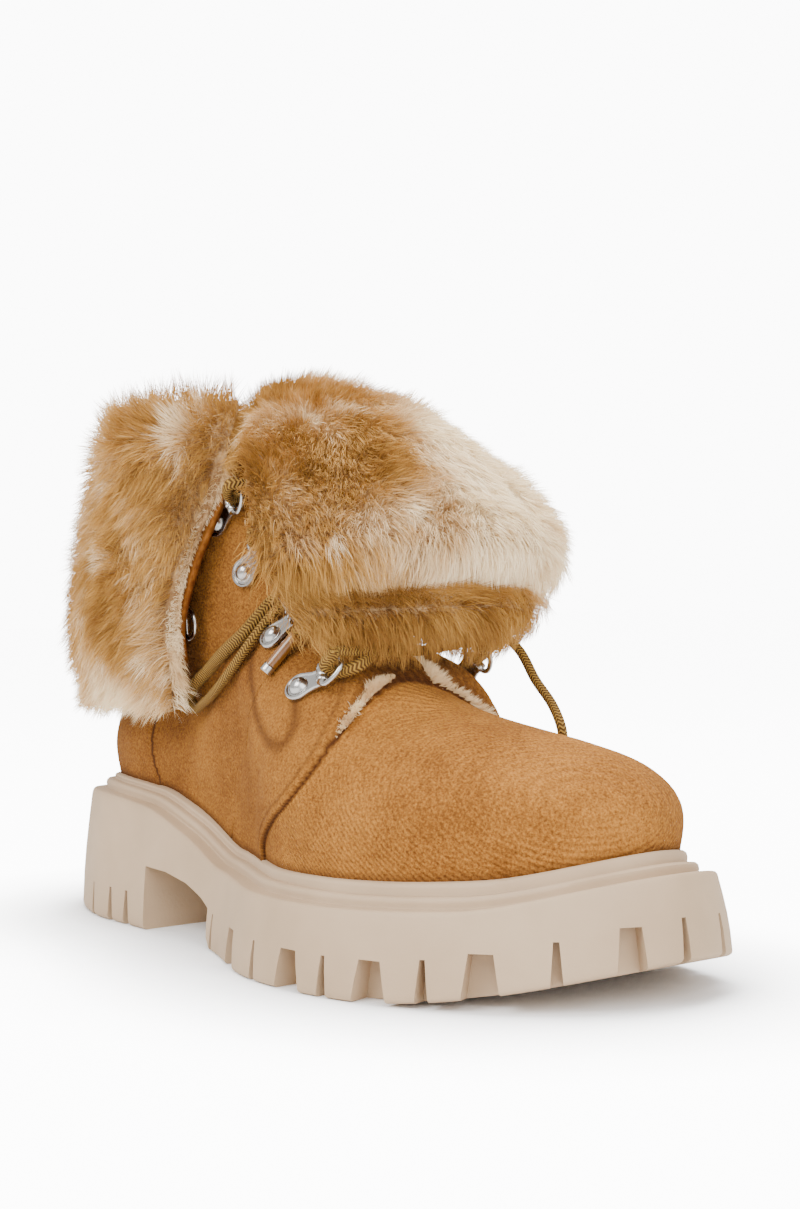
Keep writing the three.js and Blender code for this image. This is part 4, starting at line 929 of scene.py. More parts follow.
# Place along the sole and half length of each groove across the tread
groove_rows = [
    (0.045, 13), (0.21, 20), (0.5, 22), (0.565, 30), (0.63, 34), (0.695, 35), (0.76, 33), (0.825, 28),
]
cutters = [
    assemble("notches", [notch_cutter(*row) for row in notch_rows]),
    assemble("arch", [prism_across(arch_shape)]),
    assemble("grooves", [groove_cutter(*row) for row in groove_rows]),
]
for cutter in cutters:
    cut = sole.modifiers.new(cutter.name, "BOOLEAN")
    cut.operation = "DIFFERENCE"
    cut.solver = "EXACT"
    cut.object = cutter
    bpy.ops.object.select_all(action="DESELECT")
    sole.select_set(True)
    bpy.context.view_layer.objects.active = sole
    bpy.ops.object.modifier_apply(modifier=cut.name)
    bpy.data.objects.remove(cutter)
smooth_by_angle(sole, 38)

rubber, rubber_tree, rubber_surface = new_material("sole_rubber_paint", (0.36, 0.29, 0.215), 0.62)
grit = noise(rubber_tree, 900.0, 2.0)
patch = noise(rubber_tree, 30.0, 3.0)
rubber_tree.links.new(ramp(rubber_tree, patch, [(0.3, (0.405, 0.280, 0.168)), (0.7, (0.475, 0.336, 0.208))]),
                      rubber_surface.inputs["Base Color"])
bump(rubber_tree, rubber_surface, grit, 0.00012, 0.5)
dress(sole, "sole_rubber", rubber, "sole")

# Insole: a thin fleece-covered sheet on the sole's platform, inside the upper.
# It is cut to the same outline as the sole and glued down all over.
insole_rings = []
for inset, rise in ((18.0, 0.3), (16.4, 0.5), (16.1, 3.6), (17.4, 4.3)):
    flat = inset_outline(inset)
    insole_rings.append(np.column_stack([flat, platform_height(flat[:, 0]) + rise]))
insole_rings = [cap_line(insole_rings[0])] + insole_rings + [cap_line(insole_rings[-1])]


def new_group(name, inputs, outputs):
    """A node group with named inputs and outputs."""
    group = bpy.data.node_groups.new(name, "ShaderNodeTree")
    for label, kind, value in inputs:
        socket = group.interface.new_socket(label, in_out="INPUT", socket_type=kind)
        socket.default_value = value
    for label, kind in outputs:
        group.interface.new_socket(label, in_out="OUTPUT", socket_type=kind)
    return group, group.nodes.new("NodeGroupInput").outputs, group.nodes.new("NodeGroupOutput").inputs


def use_group(tree, group, **values):
    node = add_node(tree, "ShaderNodeGroup", node_tree=group)
    for key, value in values.items():
        node.inputs[key].default_value = value
    return node.outputs


# Mottling of a napped or curled surface: a deep and a pale colour in patches, with fine flecks
mottle, mottle_in, mottle_out = new_group(
    "mottle",
    [("Patches", "NodeSocketFloat", 50.0), ("Flecks", "NodeSocketFloat", 400.0),
     ("Deep", "NodeSocketColor", (0.2, 0.1, 0.05, 1.0)), ("Pale", "NodeSocketColor", (0.4, 0.2, 0.1, 1.0)),
     ("Contrast", "NodeSocketFloat", 1.0), ("Spread", "NodeSocketFloat", 2.6)],
    [("Color", "NodeSocketColor"), ("Height", "NodeSocketFloat")],
)
patch_noise = noise(mottle, mottle_in["Patches"], 4.0, 0.62)
fleck_noise = noise(mottle, mottle_in["Flecks"], 3.0, 0.66)
patch_share = calculate(mottle, "MULTIPLY_ADD", calculate(mottle, "SUBTRACT", patch_noise, 0.5),
                        mottle_in["Spread"], 0.5)
fleck_share = calculate(mottle, "MULTIPLY", calculate(mottle, "SUBTRACT", fleck_noise, 0.5),
                        mottle_in["Contrast"])
both_shares = calculate(mottle, "MULTIPLY_ADD", fleck_share, 3.2, patch_share)
held_share = calculate(mottle, "MINIMUM", calculate(mottle, "MAXIMUM", both_shares, 0.0), 1.0)
mottle.links.new(mix(mottle, held_share, mottle_in["Deep"], mottle_in["Pale"]), mottle_out["Color"])
mottle.links.new(fleck_noise, mottle_out["Height"])

fleece, fleece_tree, fleece_surface = new_material("fleece", (0.42, 0.33, 0.235), 0.95)
curls = use_group(fleece_tree, mottle, Patches=60.0, Flecks=420.0, Deep=(0.36, 0.26, 0.17, 1.0),
                  Pale=(0.72, 0.59, 0.44, 1.0))
fleece_tree.links.new(curls["Color"], fleece_surface.inputs["Base Color"])
bump(fleece_tree, fleece_surface, curls["Height"], 0.0018)
insole = assemble("insole_fleece", [
    (np.vstack(insole_rings), grid_faces(len(insole_rings), OUTLINE_STEPS, wrap=True))])
dress(insole, "lining", fleece, "insole")

# Upper: suede glued to a fleece lining. The quarters and the heel counter are cut pieces
# stitched over the vamp, and the foot's form comes from the last it was shaped on.
WALL = 2.6
counter_rows = [
    (0.2397, 0.1282), (0.2326, 0.2949), (0.222, 0.359), (0.2184, 0.4231), (0.222, 0.5769),
]
throat_base = np.array([x_at(0.58), 0.622 * FOLD_HEIGHT])
counter_edge = curve_through(side_points(counter_rows), 40)
counter_map = DistanceMap(
    np.vstack([[back_low], counter_edge, [[back_low[0], counter_edge[-1][1]]]]),
    counter_edge,
    side_low,
    side_high,
)
throat_map = DistanceMap(
    np.vstack([[throat_base], facing_edge, [facing_top], [[x_at(1.2), facing_top[1]]],
               [[x_at(1.2), throat_base[1]]]]),
    np.vstack([[throat_base], facing_edge, [facing_top]]),
    side_low,
    side_high,
)

# Creases pressed into the upper: side, two places in side view, half width, depth (less is a ridge)
crease_rows = [
    (-1, (0.50, 0.50), (0.43, 0.30), 5.0, 0.8), (-1, (0.56, 0.40), (0.50, 0.24), 4.5, 0.6),
    (-1, (0.46, 0.56), (0.53, 0.42), 4.0, -0.5), (-1, (0.29, 0.46), (0.33, 0.28), 5.5, 0.6),
    (-1, (0.70, 0.48), (0.76, 0.40), 6.0, 0.9), (-1, (0.66, 0.36), (0.74, 0.24), 7.0, 0.6),
    (-1, (0.79, 0.36), (0.86, 0.30), 6.0, 0.5), (-1, (0.72, 0.42), (0.80, 0.33), 5.0, -0.5),
    (1, (0.69, 0.49), (0.75, 0.40), 6.0, 0.8), (1, (0.48, 0.50), (0.42, 0.32), 5.0, 0.8),
    (1, (0.80, 0.38), (0.87, 0.31), 6.0, 0.5), (1, (0.30, 0.46), (0.34, 0.30), 5.5, 0.6),
]


def crease_depth(x, y, z):
    """How deep the pressed creases are at a place of the upper."""
    total = np.zeros_like(x)
    places = np.stack([x, z], axis=-1)
    for side, first, last, half, depth in crease_rows:
        a = np.array([x_at(first[0]), first[1] * FOLD_HEIGHT])
        d = np.array([x_at(last[0]), last[1] * FOLD_HEIGHT]) - a
        t = np.clip((places - a) @ d / (d @ d), 0, 1)
        away = np.linalg.norm(places - a - t[:, None] * d, axis=1) / half
        total += depth * np.exp(-away * away) * smoothstep(side * y, 4, 16)
    return total


def overlay_grow(x, y, z):
    quarter = smoothstep(quarter_map.at(x, z), -0.4, 0.4)
    counter = smoothstep(counter_map.at(x, z), -0.8, 0.8)
    return quarter * corner_lift(x, y, z) + counter * COUNTER_STEP - crease_depth(x, y, z)


def dressed_field(x, y, z):
    return form_field(x, y, z, overlay_grow(x, y, z))


# Painted shade in a soft dark U on the outer quarter
painted_u_shade_line = curve_through(side_points([
    (0.478, 0.59), (0.49, 0.555), (0.508, 0.52), (0.544, 0.465), (0.58, 0.43), (0.607, 0.43),
    (0.614, 0.465), (0.6, 0.51)]), 50)

def read_value(tree, name):
    return add_node(tree, "ShaderNodeAttribute", attribute_name=name).outputs["Fac"]


FAN_PIVOT = np.array([x_at(0.612), 0.756 * FOLD_HEIGHT])
FAN_REACH = (0.22 * SOLE_LENGTH, 0.312 * SOLE_LENGTH)


def station_rows(fine):
    """Origins, up directions, shares of up and across, and forward tilts of the sections."""
    rows = []
    x_toe = x_at(0.9)
    toe_y = 0.06 * BALL_WIDTH * (0.9 - 0.8) / 0.14
    for tilt in np.linspace(math.pi / 2, 0.03, int(34 * fine)):
        z = (platform_height(x_toe) + vamp_height(x_toe)) / 2 - 3
        rows.append((x_toe, toe_y, z, 0.0, 22.0, 34.0, tilt))
    for along in np.linspace(0.9, 0.665, int(70 * fine)):
        x = x_at(along)
        z = (platform_height(x) + vamp_height(x)) / 2 - 3
        rows.append((x, 0.06 * BALL_WIDTH * max(0.0, (along - 0.8) / 0.14), z, 0.0, 22.0, 34.0, 0.0))
    last = rows[-1]
    fan_start = (FAN_PIVOT[0], 0.0, FAN_PIVOT[1] - FAN_REACH[0], 0.0, 26.0, 34.0, 0.0)
    for share in np.linspace(0, 1, int(18 * fine))[1:-1]:
        rows.append(tuple(a + (b - a) * share for a, b in zip(last, fan_start)))
    for share in np.linspace(0, 1, int(200 * fine)):
        turn = share * math.pi / 2
        reach = FAN_REACH[0] + (FAN_REACH[1] - FAN_REACH[0]) * share
        rows.append((FAN_PIVOT[0] - reach * math.sin(turn), 0.0, FAN_PIVOT[1] - reach * math.cos(turn),
                     turn, 26 + 34 * share, 34.0, 0.0))
    last = rows[-1]
    for share in np.linspace(0, 1, int(34 * fine))[1:]:
        z = last[2] + (FOLD_HEIGHT - last[2]) * share
        rows.append((shaft_at(z)[0], 0.0, z, math.pi / 2, 60 - 5 * share, 34.0, 0.0))
    return np.array(rows)


def ray_directions(rows, angles):
    up = np.stack([np.sin(rows[:, 3]), np.zeros(len(rows)), np.cos(rows[:, 3])], axis=1)
    ahead = up * (rows[:, 4] * np.cos(angles))[:, None]
    ahead[:, 1] += rows[:, 5] * np.sin(angles)
    ahead = unit(ahead) * np.cos(rows[:, 6])[:, None]
    ahead[:, 0] += np.sin(rows[:, 6])
    return ahead


def throat_angles(rows, side):
    """Angle on one side at which each section leaves the open throat, or zero."""
    steps = np.linspace(0, 2.3, 70)
    many = np.repeat(rows, len(steps), axis=0)
    angles = np.tile(steps, len(rows)) * side
    hits = cast(lambda x, y, z: form_field(x, y, z, QUARTER_STEP), many[:, :3], ray_directions(many, angles))
    inside = throat_map.at(hits[:, 0], hits[:, 2]).reshape(len(rows), -1)
    found = np.zeros(len(rows))
    for i, line in enumerate(inside):
        if line[0] <= 0:
            continue
        out = np.flatnonzero(line <= 0)
        if len(out):
            k = out[0]
            share = line[k - 1] / (line[k - 1] - line[k])
            found[i] = steps[k - 1] + share * (steps[k] - steps[k - 1])
    return found


def wrap_grid(rows, columns, field):
    """Points of a form round all its sections, from one edge of the throat to the other."""
    first = throat_angles(rows, 1)
    last = throat_angles(rows, -1)
    share = np.linspace(0, 1, columns)
    angles = first[:, None] + (2 * math.pi - last - first)[:, None] * share
    many = np.repeat(rows, columns, axis=0)
    hits = cast(field, many[:, :3], ray_directions(many, angles.ravel()))
    return hits.reshape(len(rows), columns, 3)


def above_platform(field, margin):
    def cut(x, y, z):
        return np.maximum(field(x, y, z), (platform_height(x) - margin - z) / 40)
    return cut


upper_rows = station_rows(0.9 * detail)
skin = wrap_grid(upper_rows, int(236 * detail), above_platform(dressed_field, 1.5))
skin_points = skin.reshape(-1, 3)
skin_x, skin_y, skin_z = skin_points.T

suede, suede_tree, suede_surface = new_material("suede_nap", (0.35, 0.14, 0.03), 0.95)
edge_way = read_value(suede_tree, "edge")
counter_way = read_value(suede_tree, "counter")
low_way = read_value(suede_tree, "low")
grain = noise(suede_tree, 1500.0, 2.0, 0.6)
nap = use_group(suede_tree, mottle, Patches=28.0, Flecks=1300.0, Deep=(0.195, 0.068, 0.011, 1.0),
                Pale=(0.49, 0.205, 0.038, 1.0), Contrast=0.85, Spread=1.8)
ribs = add_node(suede_tree, "ShaderNodeTexWave", wave_type="BANDS", bands_direction="X")
ribs.inputs["Scale"].default_value = 240.0
ribs.inputs["Distortion"].default_value = 1.3
ribs.inputs["Detail"].default_value = 2.0
ribs.inputs["Detail Scale"].default_value = 2.0
rib_turn = add_node(suede_tree, "ShaderNodeMapping")
rib_turn.inputs["Rotation"].default_value = (0.0, math.radians(38), math.radians(24))
suede_tree.links.new(add_node(suede_tree, "ShaderNodeTexCoord").outputs["Object"], rib_turn.inputs["Vector"])
suede_tree.links.new(rib_turn.outputs["Vector"], ribs.inputs["Vector"])


def band(tree, way, middle, half):
    """One at the middle of a way, falling to nothing at half its width."""
    off = calculate(tree, "ABSOLUTE", calculate(tree, "SUBTRACT", way, middle))
    share = calculate(tree, "MINIMUM", calculate(tree, "DIVIDE", off, half), 1.0)
    return calculate(tree, "SUBTRACT", 1.0, share)


# Painted shadow: a dark line just off the quarters' cut edge, where the edge stands over the vamp
edge_line = band(suede_tree, edge_way, -0.25, 0.8)
stitch_line = band(suede_tree, edge_way, 2.6, 0.9)
counter_line = band(suede_tree, counter_way, -0.2, 0.9)
foot_line = band(suede_tree, low_way, 0.3, 2.6)
shade = calculate(suede_tree, "MAXIMUM", calculate(suede_tree, "MULTIPLY", edge_line, 0.95),
                  calculate(suede_tree, "MULTIPLY", counter_line, 0.9))
shade = calculate(suede_tree, "MAXIMUM", shade, calculate(suede_tree, "MULTIPLY", stitch_line, 0.28))
shade = calculate(suede_tree, "MAXIMUM", shade, calculate(suede_tree, "MULTIPLY", foot_line, 0.55))
# A soft U of painted shade on the outer quarter, darkest on its line
painted_u_shade = band(suede_tree, read_value(suede_tree, "painted_u_shade"), 0.0, 3.2)
shade = calculate(suede_tree, "MAXIMUM", shade, calculate(suede_tree, "MULTIPLY", painted_u_shade, 0.55))
on_quarters = calculate(suede_tree, "MINIMUM", calculate(suede_tree, "MAXIMUM", edge_way, 0.0), 1.0)
on_vamp = calculate(suede_tree, "SUBTRACT", 1.0, on_quarters)
shade = calculate(suede_tree, "MULTIPLY_ADD", on_quarters, 0.27, shade)
# The valleys between the vamp's ribs are darkened: painted shade
rib_valley = calculate(suede_tree, "MULTIPLY", on_vamp, calculate(
    suede_tree, "SUBTRACT", 1.0, ribs.outputs["Fac"]))
shade = calculate(suede_tree, "MULTIPLY_ADD", rib_valley, 0.15, shade)
shade = calculate(suede_tree, "MINIMUM", shade, 1.0)
suede_color = mix(suede_tree, shade, nap["Color"], (0.075, 0.024, 0.006))
suede_tree.links.new(suede_color, suede_surface.inputs["Base Color"])
suede_surface.inputs["Specular IOR Level"].default_value = 0.12
relief = calculate(suede_tree, "MULTIPLY_ADD", rib_valley, -0.6,
                   calculate(suede_tree, "ADD", grain, nap["Height"]))
relief = calculate(suede_tree, "SUBTRACT", relief, calculate(suede_tree, "MULTIPLY", stitch_line, 0.8))
bump(suede_tree, suede_surface, relief, 0.0009, 0.9)

upper = new_mesh(
    "upper_suede",
    skin_points,
    grid_faces(skin.shape[0], skin.shape[1])[:, ::-1],
    values={
        "edge": quarter_map.at(skin_x, skin_z),
        "counter": counter_map.at(skin_x, skin_z),
        "low": skin_z - platform_height(skin_x),
        "painted_u_shade": np.where(skin_y < 0, segment_distance(np.stack([skin_x, skin_z], axis=1),
                                                      painted_u_shade_line[:-1], painted_u_shade_line[1:]), 50.0),
    },
)


def weld(piece):
    bpy.ops.object.select_all(action="DESELECT")
    piece.select_set(True)
    bpy.context.view_layer.objects.active = piece
    bpy.ops.object.mode_set(mode="EDIT")
    bpy.ops.mesh.select_all(action="SELECT")
    bpy.ops.mesh.remove_doubles(threshold=2e-5)
    bpy.ops.object.mode_set(mode="OBJECT")


weld(upper)
dress(upper, "suede", suede, "upper")

# Lining: fleece glued over the whole inside of the upper. It meets the suede at the cut edge
# up the facings.
lining_rows = station_rows(0.4 * detail)
lining_columns = int(110 * detail)
inner_skin = wrap_grid(lining_rows, lining_columns,
                       above_platform(lambda x, y, z: form_field(x, y, z, -WALL), 1.0))
outer_rim = wrap_grid(lining_rows, 3, above_platform(dressed_field, 1.5))
full = np.concatenate([outer_rim[:, :1], inner_skin, outer_rim[:, -1:]], axis=1)
lining = new_mesh("upper_lining", full.reshape(-1, 3), grid_faces(full.shape[0], full.shape[1]))
weld(lining)
dress(lining, "lining", fleece)

# Flap: the top of the shaft folded outwards and down all round, with the suede's cut edge to
# the front. The same strip then carries the fur of the cuff.
CUFF_REACH = 24.0
# Height, reach off the shaft, angle at which it starts either side of the front, share of sinking
flap_rows = [
    (0.962, -0.1, 31, 0), (1.0, -0.104, 31, 0), (1.024, -0.03, 29, 0), (1.029, 0.09, 28, 0),
    (1.01, 0.22, 29, 0), (0.885, 0.317, 35, 0), (0.756, 0.408, 49, 0), (0.641, 0.45, 65, 0),
    (0.558, 0.425, 75, 0), (0.558, 0.342, 75, 0), (0.641, 0.362, 65, 0), (0.756, 0.321, 49, 0),
    (0.885, 0.229, 35, 0), (0.99, 0.13, 29, 0), (0.998, 0.05, 30, 0), (0.962, 0.05, 31, 0),
]
fur_rows = [
    (0.808, -0.185, 52, 0), (1.0, -0.175, 46, 0), (1.038, -0.075, 36, 0), (1.048, 0.1, 30, 0),
    (1.026, 0.27, 30, 0), (0.885, 0.38, 37, 0), (0.756, 0.472, 51, 0), (0.641, 0.518, 67, 0),
    (0.538, 0.49, 76, 0), (0.481, 0.47, 78, 0.3), (0.445, 0.5, 77, 0.6), (0.481, 0.64, 75, 0.9),
    (0.615, 0.88, 66, 1), (0.744, 0.84, 50, 1), (0.872, 0.71, 37, 1), (0.994, 0.56, 28, 1),
    (1.09, 0.4, 23, 1), (1.147, 0.14, 24, 1), (1.141, -0.2, 30, 1), (1.051, -0.417, 46, 0.7),
    (0.833, -0.36, 56, 0.4),
]
FUR_SINK = 6.2


def shaft_point(height, angle, grow):
    low = np.minimum(height, FOLD_HEIGHT)
    centre, depth, half = shaft_at(low)
    c = np.abs(np.cos(angle)) / depth
    w = np.abs(np.sin(angle)) / half
    reach = (c ** SHAFT_POWER + w ** SHAFT_POWER) ** (-1 / SHAFT_POWER)
    x = centre + reach * np.cos(angle)
    y = reach * np.sin(angle)
    step = 0.02
    normal = np.stack([
        shaft_field(x + step, y, low, 0) - shaft_field(x - step, y, low, 0),
        shaft_field(x, y + step, low, 0) - shaft_field(x, y - step, low, 0),
        np.zeros_like(x)], axis=-1)
    return np.stack([x, y, height], axis=-1) + unit(normal) * grow[..., None]


def band_grid(rows, section, columns, sunk=0.0):
    """A closed strip round the shaft that stays open at the front, its outside sunk if asked."""
    corners = [(h * FOLD_HEIGHT, g * CUFF_REACH, o, w) for h, g, o, w in rows]
    shape = curve_through(corners, section, closed=True)
    along = unit(np.roll(shape[:, :2], -1, axis=0) - np.roll(shape[:, :2], 1, axis=0))
    shape[:, :2] += sunk * shape[:, 3:4] * np.stack([along[:, 1], -along[:, 0]], axis=1)
    start = np.radians(shape[:, 2] + sunk * shape[:, 3])[:, None]
    angle = start + (2 * math.pi - 2 * start) * np.linspace(0, 1, columns)[None, :]
    height = np.repeat(shape[:, :1], columns, axis=1)
    grow = np.repeat(shape[:, 1:2], columns, axis=1)
    return shaft_point(height, angle, grow)


def close_band(name, grid, **values):
    """The strip as a closed mesh: columns run across its section, its two ends are capped."""
    rings = np.transpose(grid, (1, 0, 2))
    ends_capped = np.concatenate([cap_line(rings[0])[None], rings, cap_line(rings[-1])[None]])
    points = ends_capped.reshape(-1, 3)
    piece = new_mesh(name, points, grid_faces(len(ends_capped), rings.shape[1], wrap=True), values=values)
    close_ends(piece)
    return piece


flap_grid = band_grid(flap_rows, 64, int(190 * detail))
flap = close_band("flap_suede", flap_grid)
suede_plain, plain_tree, plain_surface = new_material("flap_nap", (0.23, 0.085, 0.022), 0.9)
plain_nap = use_group(plain_tree, mottle, Patches=60.0, Flecks=420.0, Deep=(0.15, 0.045, 0.007, 1.0),
                      Pale=(0.29, 0.105, 0.018, 1.0), Contrast=0.8)
plain_tree.links.new(plain_nap["Color"], plain_surface.inputs["Base Color"])
plain_surface.inputs["Specular IOR Level"].default_value = 0.12
bump(plain_tree, plain_surface, plain_nap["Height"], 0.0004, 0.8)
dress(flap, "suede", suede_plain)

# Tongue: cut in one with the vamp on the real boot, it rises behind the facings and folds
# forward over the instep with its fleece outwards.
TONGUE_FUR_DEPTH = 20.0
tongue_fur_rows = [
    (0.4241, 0.7885, 0.25, 0.142, 0.047), (0.4028, 0.8718, 0.4, 0.16, 0.047),
    (0.3929, 0.9487, 0.45, 0.17, 0.038), (0.3957, 1.0096, 0.45, 0.189, 0.028),
    (0.417, 1.0513, 0.5, 0.217, 0.019), (0.4525, 1.0641, 0.55, 0.264, 0.019),
    (0.495, 1.0385, 0.65, 0.358, 0.028), (0.5518, 0.9744, 0.85, 0.509, 0.047),
    (0.6014, 0.8654, 1.1, 0.585, 0.057), (0.6245, 0.765, 1.22, 0.594, 0.066),
    (0.6315, 0.728, 0.5, 0.57, 0.066), (0.635, 0.70, 0.5, 0.54, 0.075),
    (0.6385, 0.667, 0.72, 0.51, 0.075), (0.6422, 0.6378, 0.6, 0.462, 0.075),
    (0.644, 0.6218, 0.3, 0.406, 0.075),
]


def droop(y, z):
    """The folded tongue hangs lower on the boot's inner side."""
    return 11 * smoothstep(y, 6, 52) * smoothstep(z, 116, 165)


def side_normals(line):
    along = unit(np.gradient(line, axis=0))
    return np.stack([-along[:, 1], along[:, 0]], axis=1)


def make_tongue():
    shape = curve_through([(x_at(a), h * FOLD_HEIGHT, w * BALL_WIDTH, s * BALL_WIDTH)
                           for a, h, w, s in tongue_rows], int(150 * detail))
    normals = side_normals(shape[:, :2])
    across = np.concatenate([np.linspace(1, -1, 31), np.linspace(-1, 1, 31)])
    face = np.repeat([-1.0, 1.0], 31)
    lift = face * 0.5 * TONGUE_THICKNESS * (1 - 0.5 * across ** 4)
    bend = shape[:, 3:4] * across ** 2
    x = shape[:, :1] + normals[:, :1] * lift - bend
    z = shape[:, 1:2] + normals[:, 1:2] * lift
    y = shape[:, 2:3] * across
    rings = np.stack([x, y, z - droop(y, z)], axis=-1)
    points = rings.reshape(-1, 3)
    return assemble("tongue_suede", [(points, grid_faces(len(rings), rings.shape[1], wrap=True))])


dress(make_tongue(), "suede", suede_plain, "tongue")


def tongue_fur_grid(rows, columns):
    shape = curve_through([(x_at(a), h * FOLD_HEIGHT, r * TONGUE_FUR_DEPTH, w * BALL_WIDTH, s * BALL_WIDTH)
                           for a, h, r, w, s in tongue_fur_rows], rows)
    normals = side_normals(shape[:, :2])
    angle = 2 * math.pi * (np.arange(columns) + 0.5) / columns
    up = np.sin(angle)
    base = 0.5 * TONGUE_THICKNESS + CLEARANCE
    depth = np.maximum(shape[:, 2:3] * np.maximum(up, 0) ** 0.75 - FUR_SINK, 0)
    lift = np.where(up > 0, base + 1 + depth, base)
    spread = np.sign(np.cos(angle)) * np.abs(np.cos(angle)) ** 0.8
    bend = shape[:, 4:5] * spread ** 2 * np.where(up > 0, 1.0, 0.8)
    spread = np.where(spread < 0, 0.93, 1.0) * spread
    x = shape[:, :1] + normals[:, :1] * lift - bend
    z = shape[:, 1:2] + normals[:, 1:2] * lift
    y = (shape[:, 3:4] - 0.8 * FUR_SINK) * spread
    return np.stack([x, y, z - droop(y, z)], axis=-1)


# Fur: a soft body under thousands of tapered hairs, combed, clumped and mottled as a dyed
# fleece is. Hairs are short ribbons with the way to their tip kept for the paint.

def value_noise(points, size, seed):
    """Smooth noise between nought and one with patches of about the given size."""
    p = points / size
    cell = np.floor(p).astype(np.int64)
    f = p - cell
    f = f * f * (3 - 2 * f)
    total = np.zeros(len(points))
    for corner in range(8):
        offset = np.array([corner & 1, corner >> 1 & 1, corner >> 2 & 1])
        key = (cell + offset) @ np.array([73856093, 19349663, 83492791]) + seed * 2654435761
        key = (key ^ (key >> 13)) * 1274126177
        share = ((key ^ (key >> 16)) & 0xFFFF) / 65535.0
        weight = np.prod(np.where(offset == 1, f, 1 - f), axis=1)
        total += share * weight
    return total


def scatter(grid, count, wrap, keep=None):
    """Random places on a grid of points: place, outward normal, and directions down and across."""
    if wrap:
        grid = np.concatenate([grid, grid[:, :1]], axis=1)
    a, b, c, d = grid[:-1, :-1], grid[:-1, 1:], grid[1:, 1:], grid[1:, :-1]
    area = np.linalg.norm(np.cross(c - a, d - b), axis=-1) / 2
    if keep is not None:
        area = area * keep[:area.shape[0], :area.shape[1]]
    pick = chance.choice(area.size, count, p=area.ravel() / area.sum())
    i, j = np.unravel_index(pick, area.shape)
    s, t = chance.random((2, count, 1))
    place = (1 - s) * (1 - t) * a[i, j] + s * (1 - t) * d[i, j] + (1 - s) * t * b[i, j] + s * t * c[i, j]
    rows_way = unit(d[i, j] - a[i, j] + c[i, j] - b[i, j])
    columns_way = unit(b[i, j] - a[i, j] + c[i, j] - d[i, j])
    return place, unit(np.cross(columns_way, rows_way)), rows_way, columns_way


def make_hairs(name, roots, starts, finishes, lengths, width, tones, clump=4.6, gather=0.5):
    """Ribbons that leave the root one way and bend to another, drawn together in clumps."""
    count = len(roots)
    tips = roots + lengths[:, None] * (0.5 * starts + 0.5 * finishes)
    centres = max(8, int(count / (12 * detail)))
    chosen = chance.choice(count, centres, replace=False)
    cells = {}
    for number in chosen:
        cells.setdefault(tuple(np.floor(tips[number] / clump).astype(int)), []).append(number)
    nearest = np.full(count, -1)
    best = np.full(count, np.inf)
    keys = np.floor(tips / clump).astype(int)
    order = np.lexsort(keys.T)
    breaks = np.flatnonzero(np.any(np.diff(keys[order], axis=0), axis=1)) + 1
    for group in np.split(order, breaks):
        key = keys[group[0]]
        near = [n for dx in (-1, 0, 1) for dy in (-1, 0, 1) for dz in (-1, 0, 1)
                for n in cells.get((key[0] + dx, key[1] + dy, key[2] + dz), ())]
        if not near:
            continue
        near = np.array(near)
        away = np.linalg.norm(tips[group][:, None] - tips[near][None], axis=-1)
        k = away.argmin(axis=1)
        nearest[group] = near[k]
        best[group] = away[np.arange(len(group)), k]
    drawn = np.where((nearest >= 0) & (best < 1.5 * clump), gather, 0.0)[:, None]
    pull = (tips[nearest] - tips) * drawn
    random_way = unit(chance.normal(size=(count, 3)))
    side = unit(np.cross(finishes, random_way))
    points = np.empty((count, 5, 3))
    ways = np.array([0, 0, 0.5, 0.5, 1.0])
    for k, t in enumerate((0.0, 0.5)):
        middle = (roots + lengths[:, None] * (starts * (t - t * t / 2) + finishes * t * t / 2)
                  + pull * t ** 1.6)
        half = side * (width * (1 - 0.55 * t))[:, None] / 2
        points[:, 2 * k] = middle - half
        points[:, 2 * k + 1] = middle + half
    points[:, 4] = tips + pull
    pattern = np.array([(0, 1, 3), (0, 3, 2), (2, 3, 4)])
    faces = (pattern[None] + 5 * np.arange(count)[:, None, None]).reshape(-1, 3)
    return new_mesh(name, points.reshape(-1, 3), faces, values={
        "way": np.tile(ways, count),
        "tone": np.repeat(tones, 5),
    })


BROWN = (0.23, 0.10, 0.018)
GOLD = (0.54, 0.295, 0.074)
CREAM = (0.95, 0.81, 0.56)
fur_hair, hair_tree, hair_surface = new_material("fur_hair", GOLD, 0.7)
hair_color = ramp(hair_tree, read_value(hair_tree, "tone"), [(0.0, BROWN), (0.42, GOLD), (1.0, CREAM)])
# Each hair is darker at the root and lighter at the tip
hair_root_to_tip = ramp(hair_tree, read_value(hair_tree, "way"), [
    (0.0, (0.70, 0.62, 0.52)), (0.5, (0.95, 0.93, 0.90)), (1.0, (1.06, 1.06, 1.06))])
hair_paint = mix(hair_tree, 1.0, hair_color, hair_root_to_tip, "MULTIPLY")
hair_tree.links.new(hair_paint, hair_surface.inputs["Base Color"])
# A little glow stands for the light that passes through many fine hairs
hair_tree.links.new(hair_paint, hair_surface.inputs["Emission Color"])
hair_surface.inputs["Emission Strength"].default_value = 0.17
hair_surface.inputs["Specular IOR Level"].default_value = 0.2

under_fur, under_tree, under_surface = new_material("under_fur", (0.4, 0.22, 0.09), 0.95)
under_fuzz = use_group(under_tree, mottle, Patches=70.0, Flecks=300.0, Deep=(0.26, 0.135, 0.05, 1.0),
                       Pale=(0.60, 0.38, 0.18, 1.0))
under_tree.links.new(under_fuzz["Color"], under_surface.inputs["Base Color"])
bump(under_tree, under_surface, under_fuzz["Height"], 0.002)

cuff_grid = band_grid(fur_rows, int(90 * detail), int(180 * detail), FUR_SINK)
dress(close_band("cuff_under_fur", cuff_grid), "fur", under_fur, "cuff_fur")


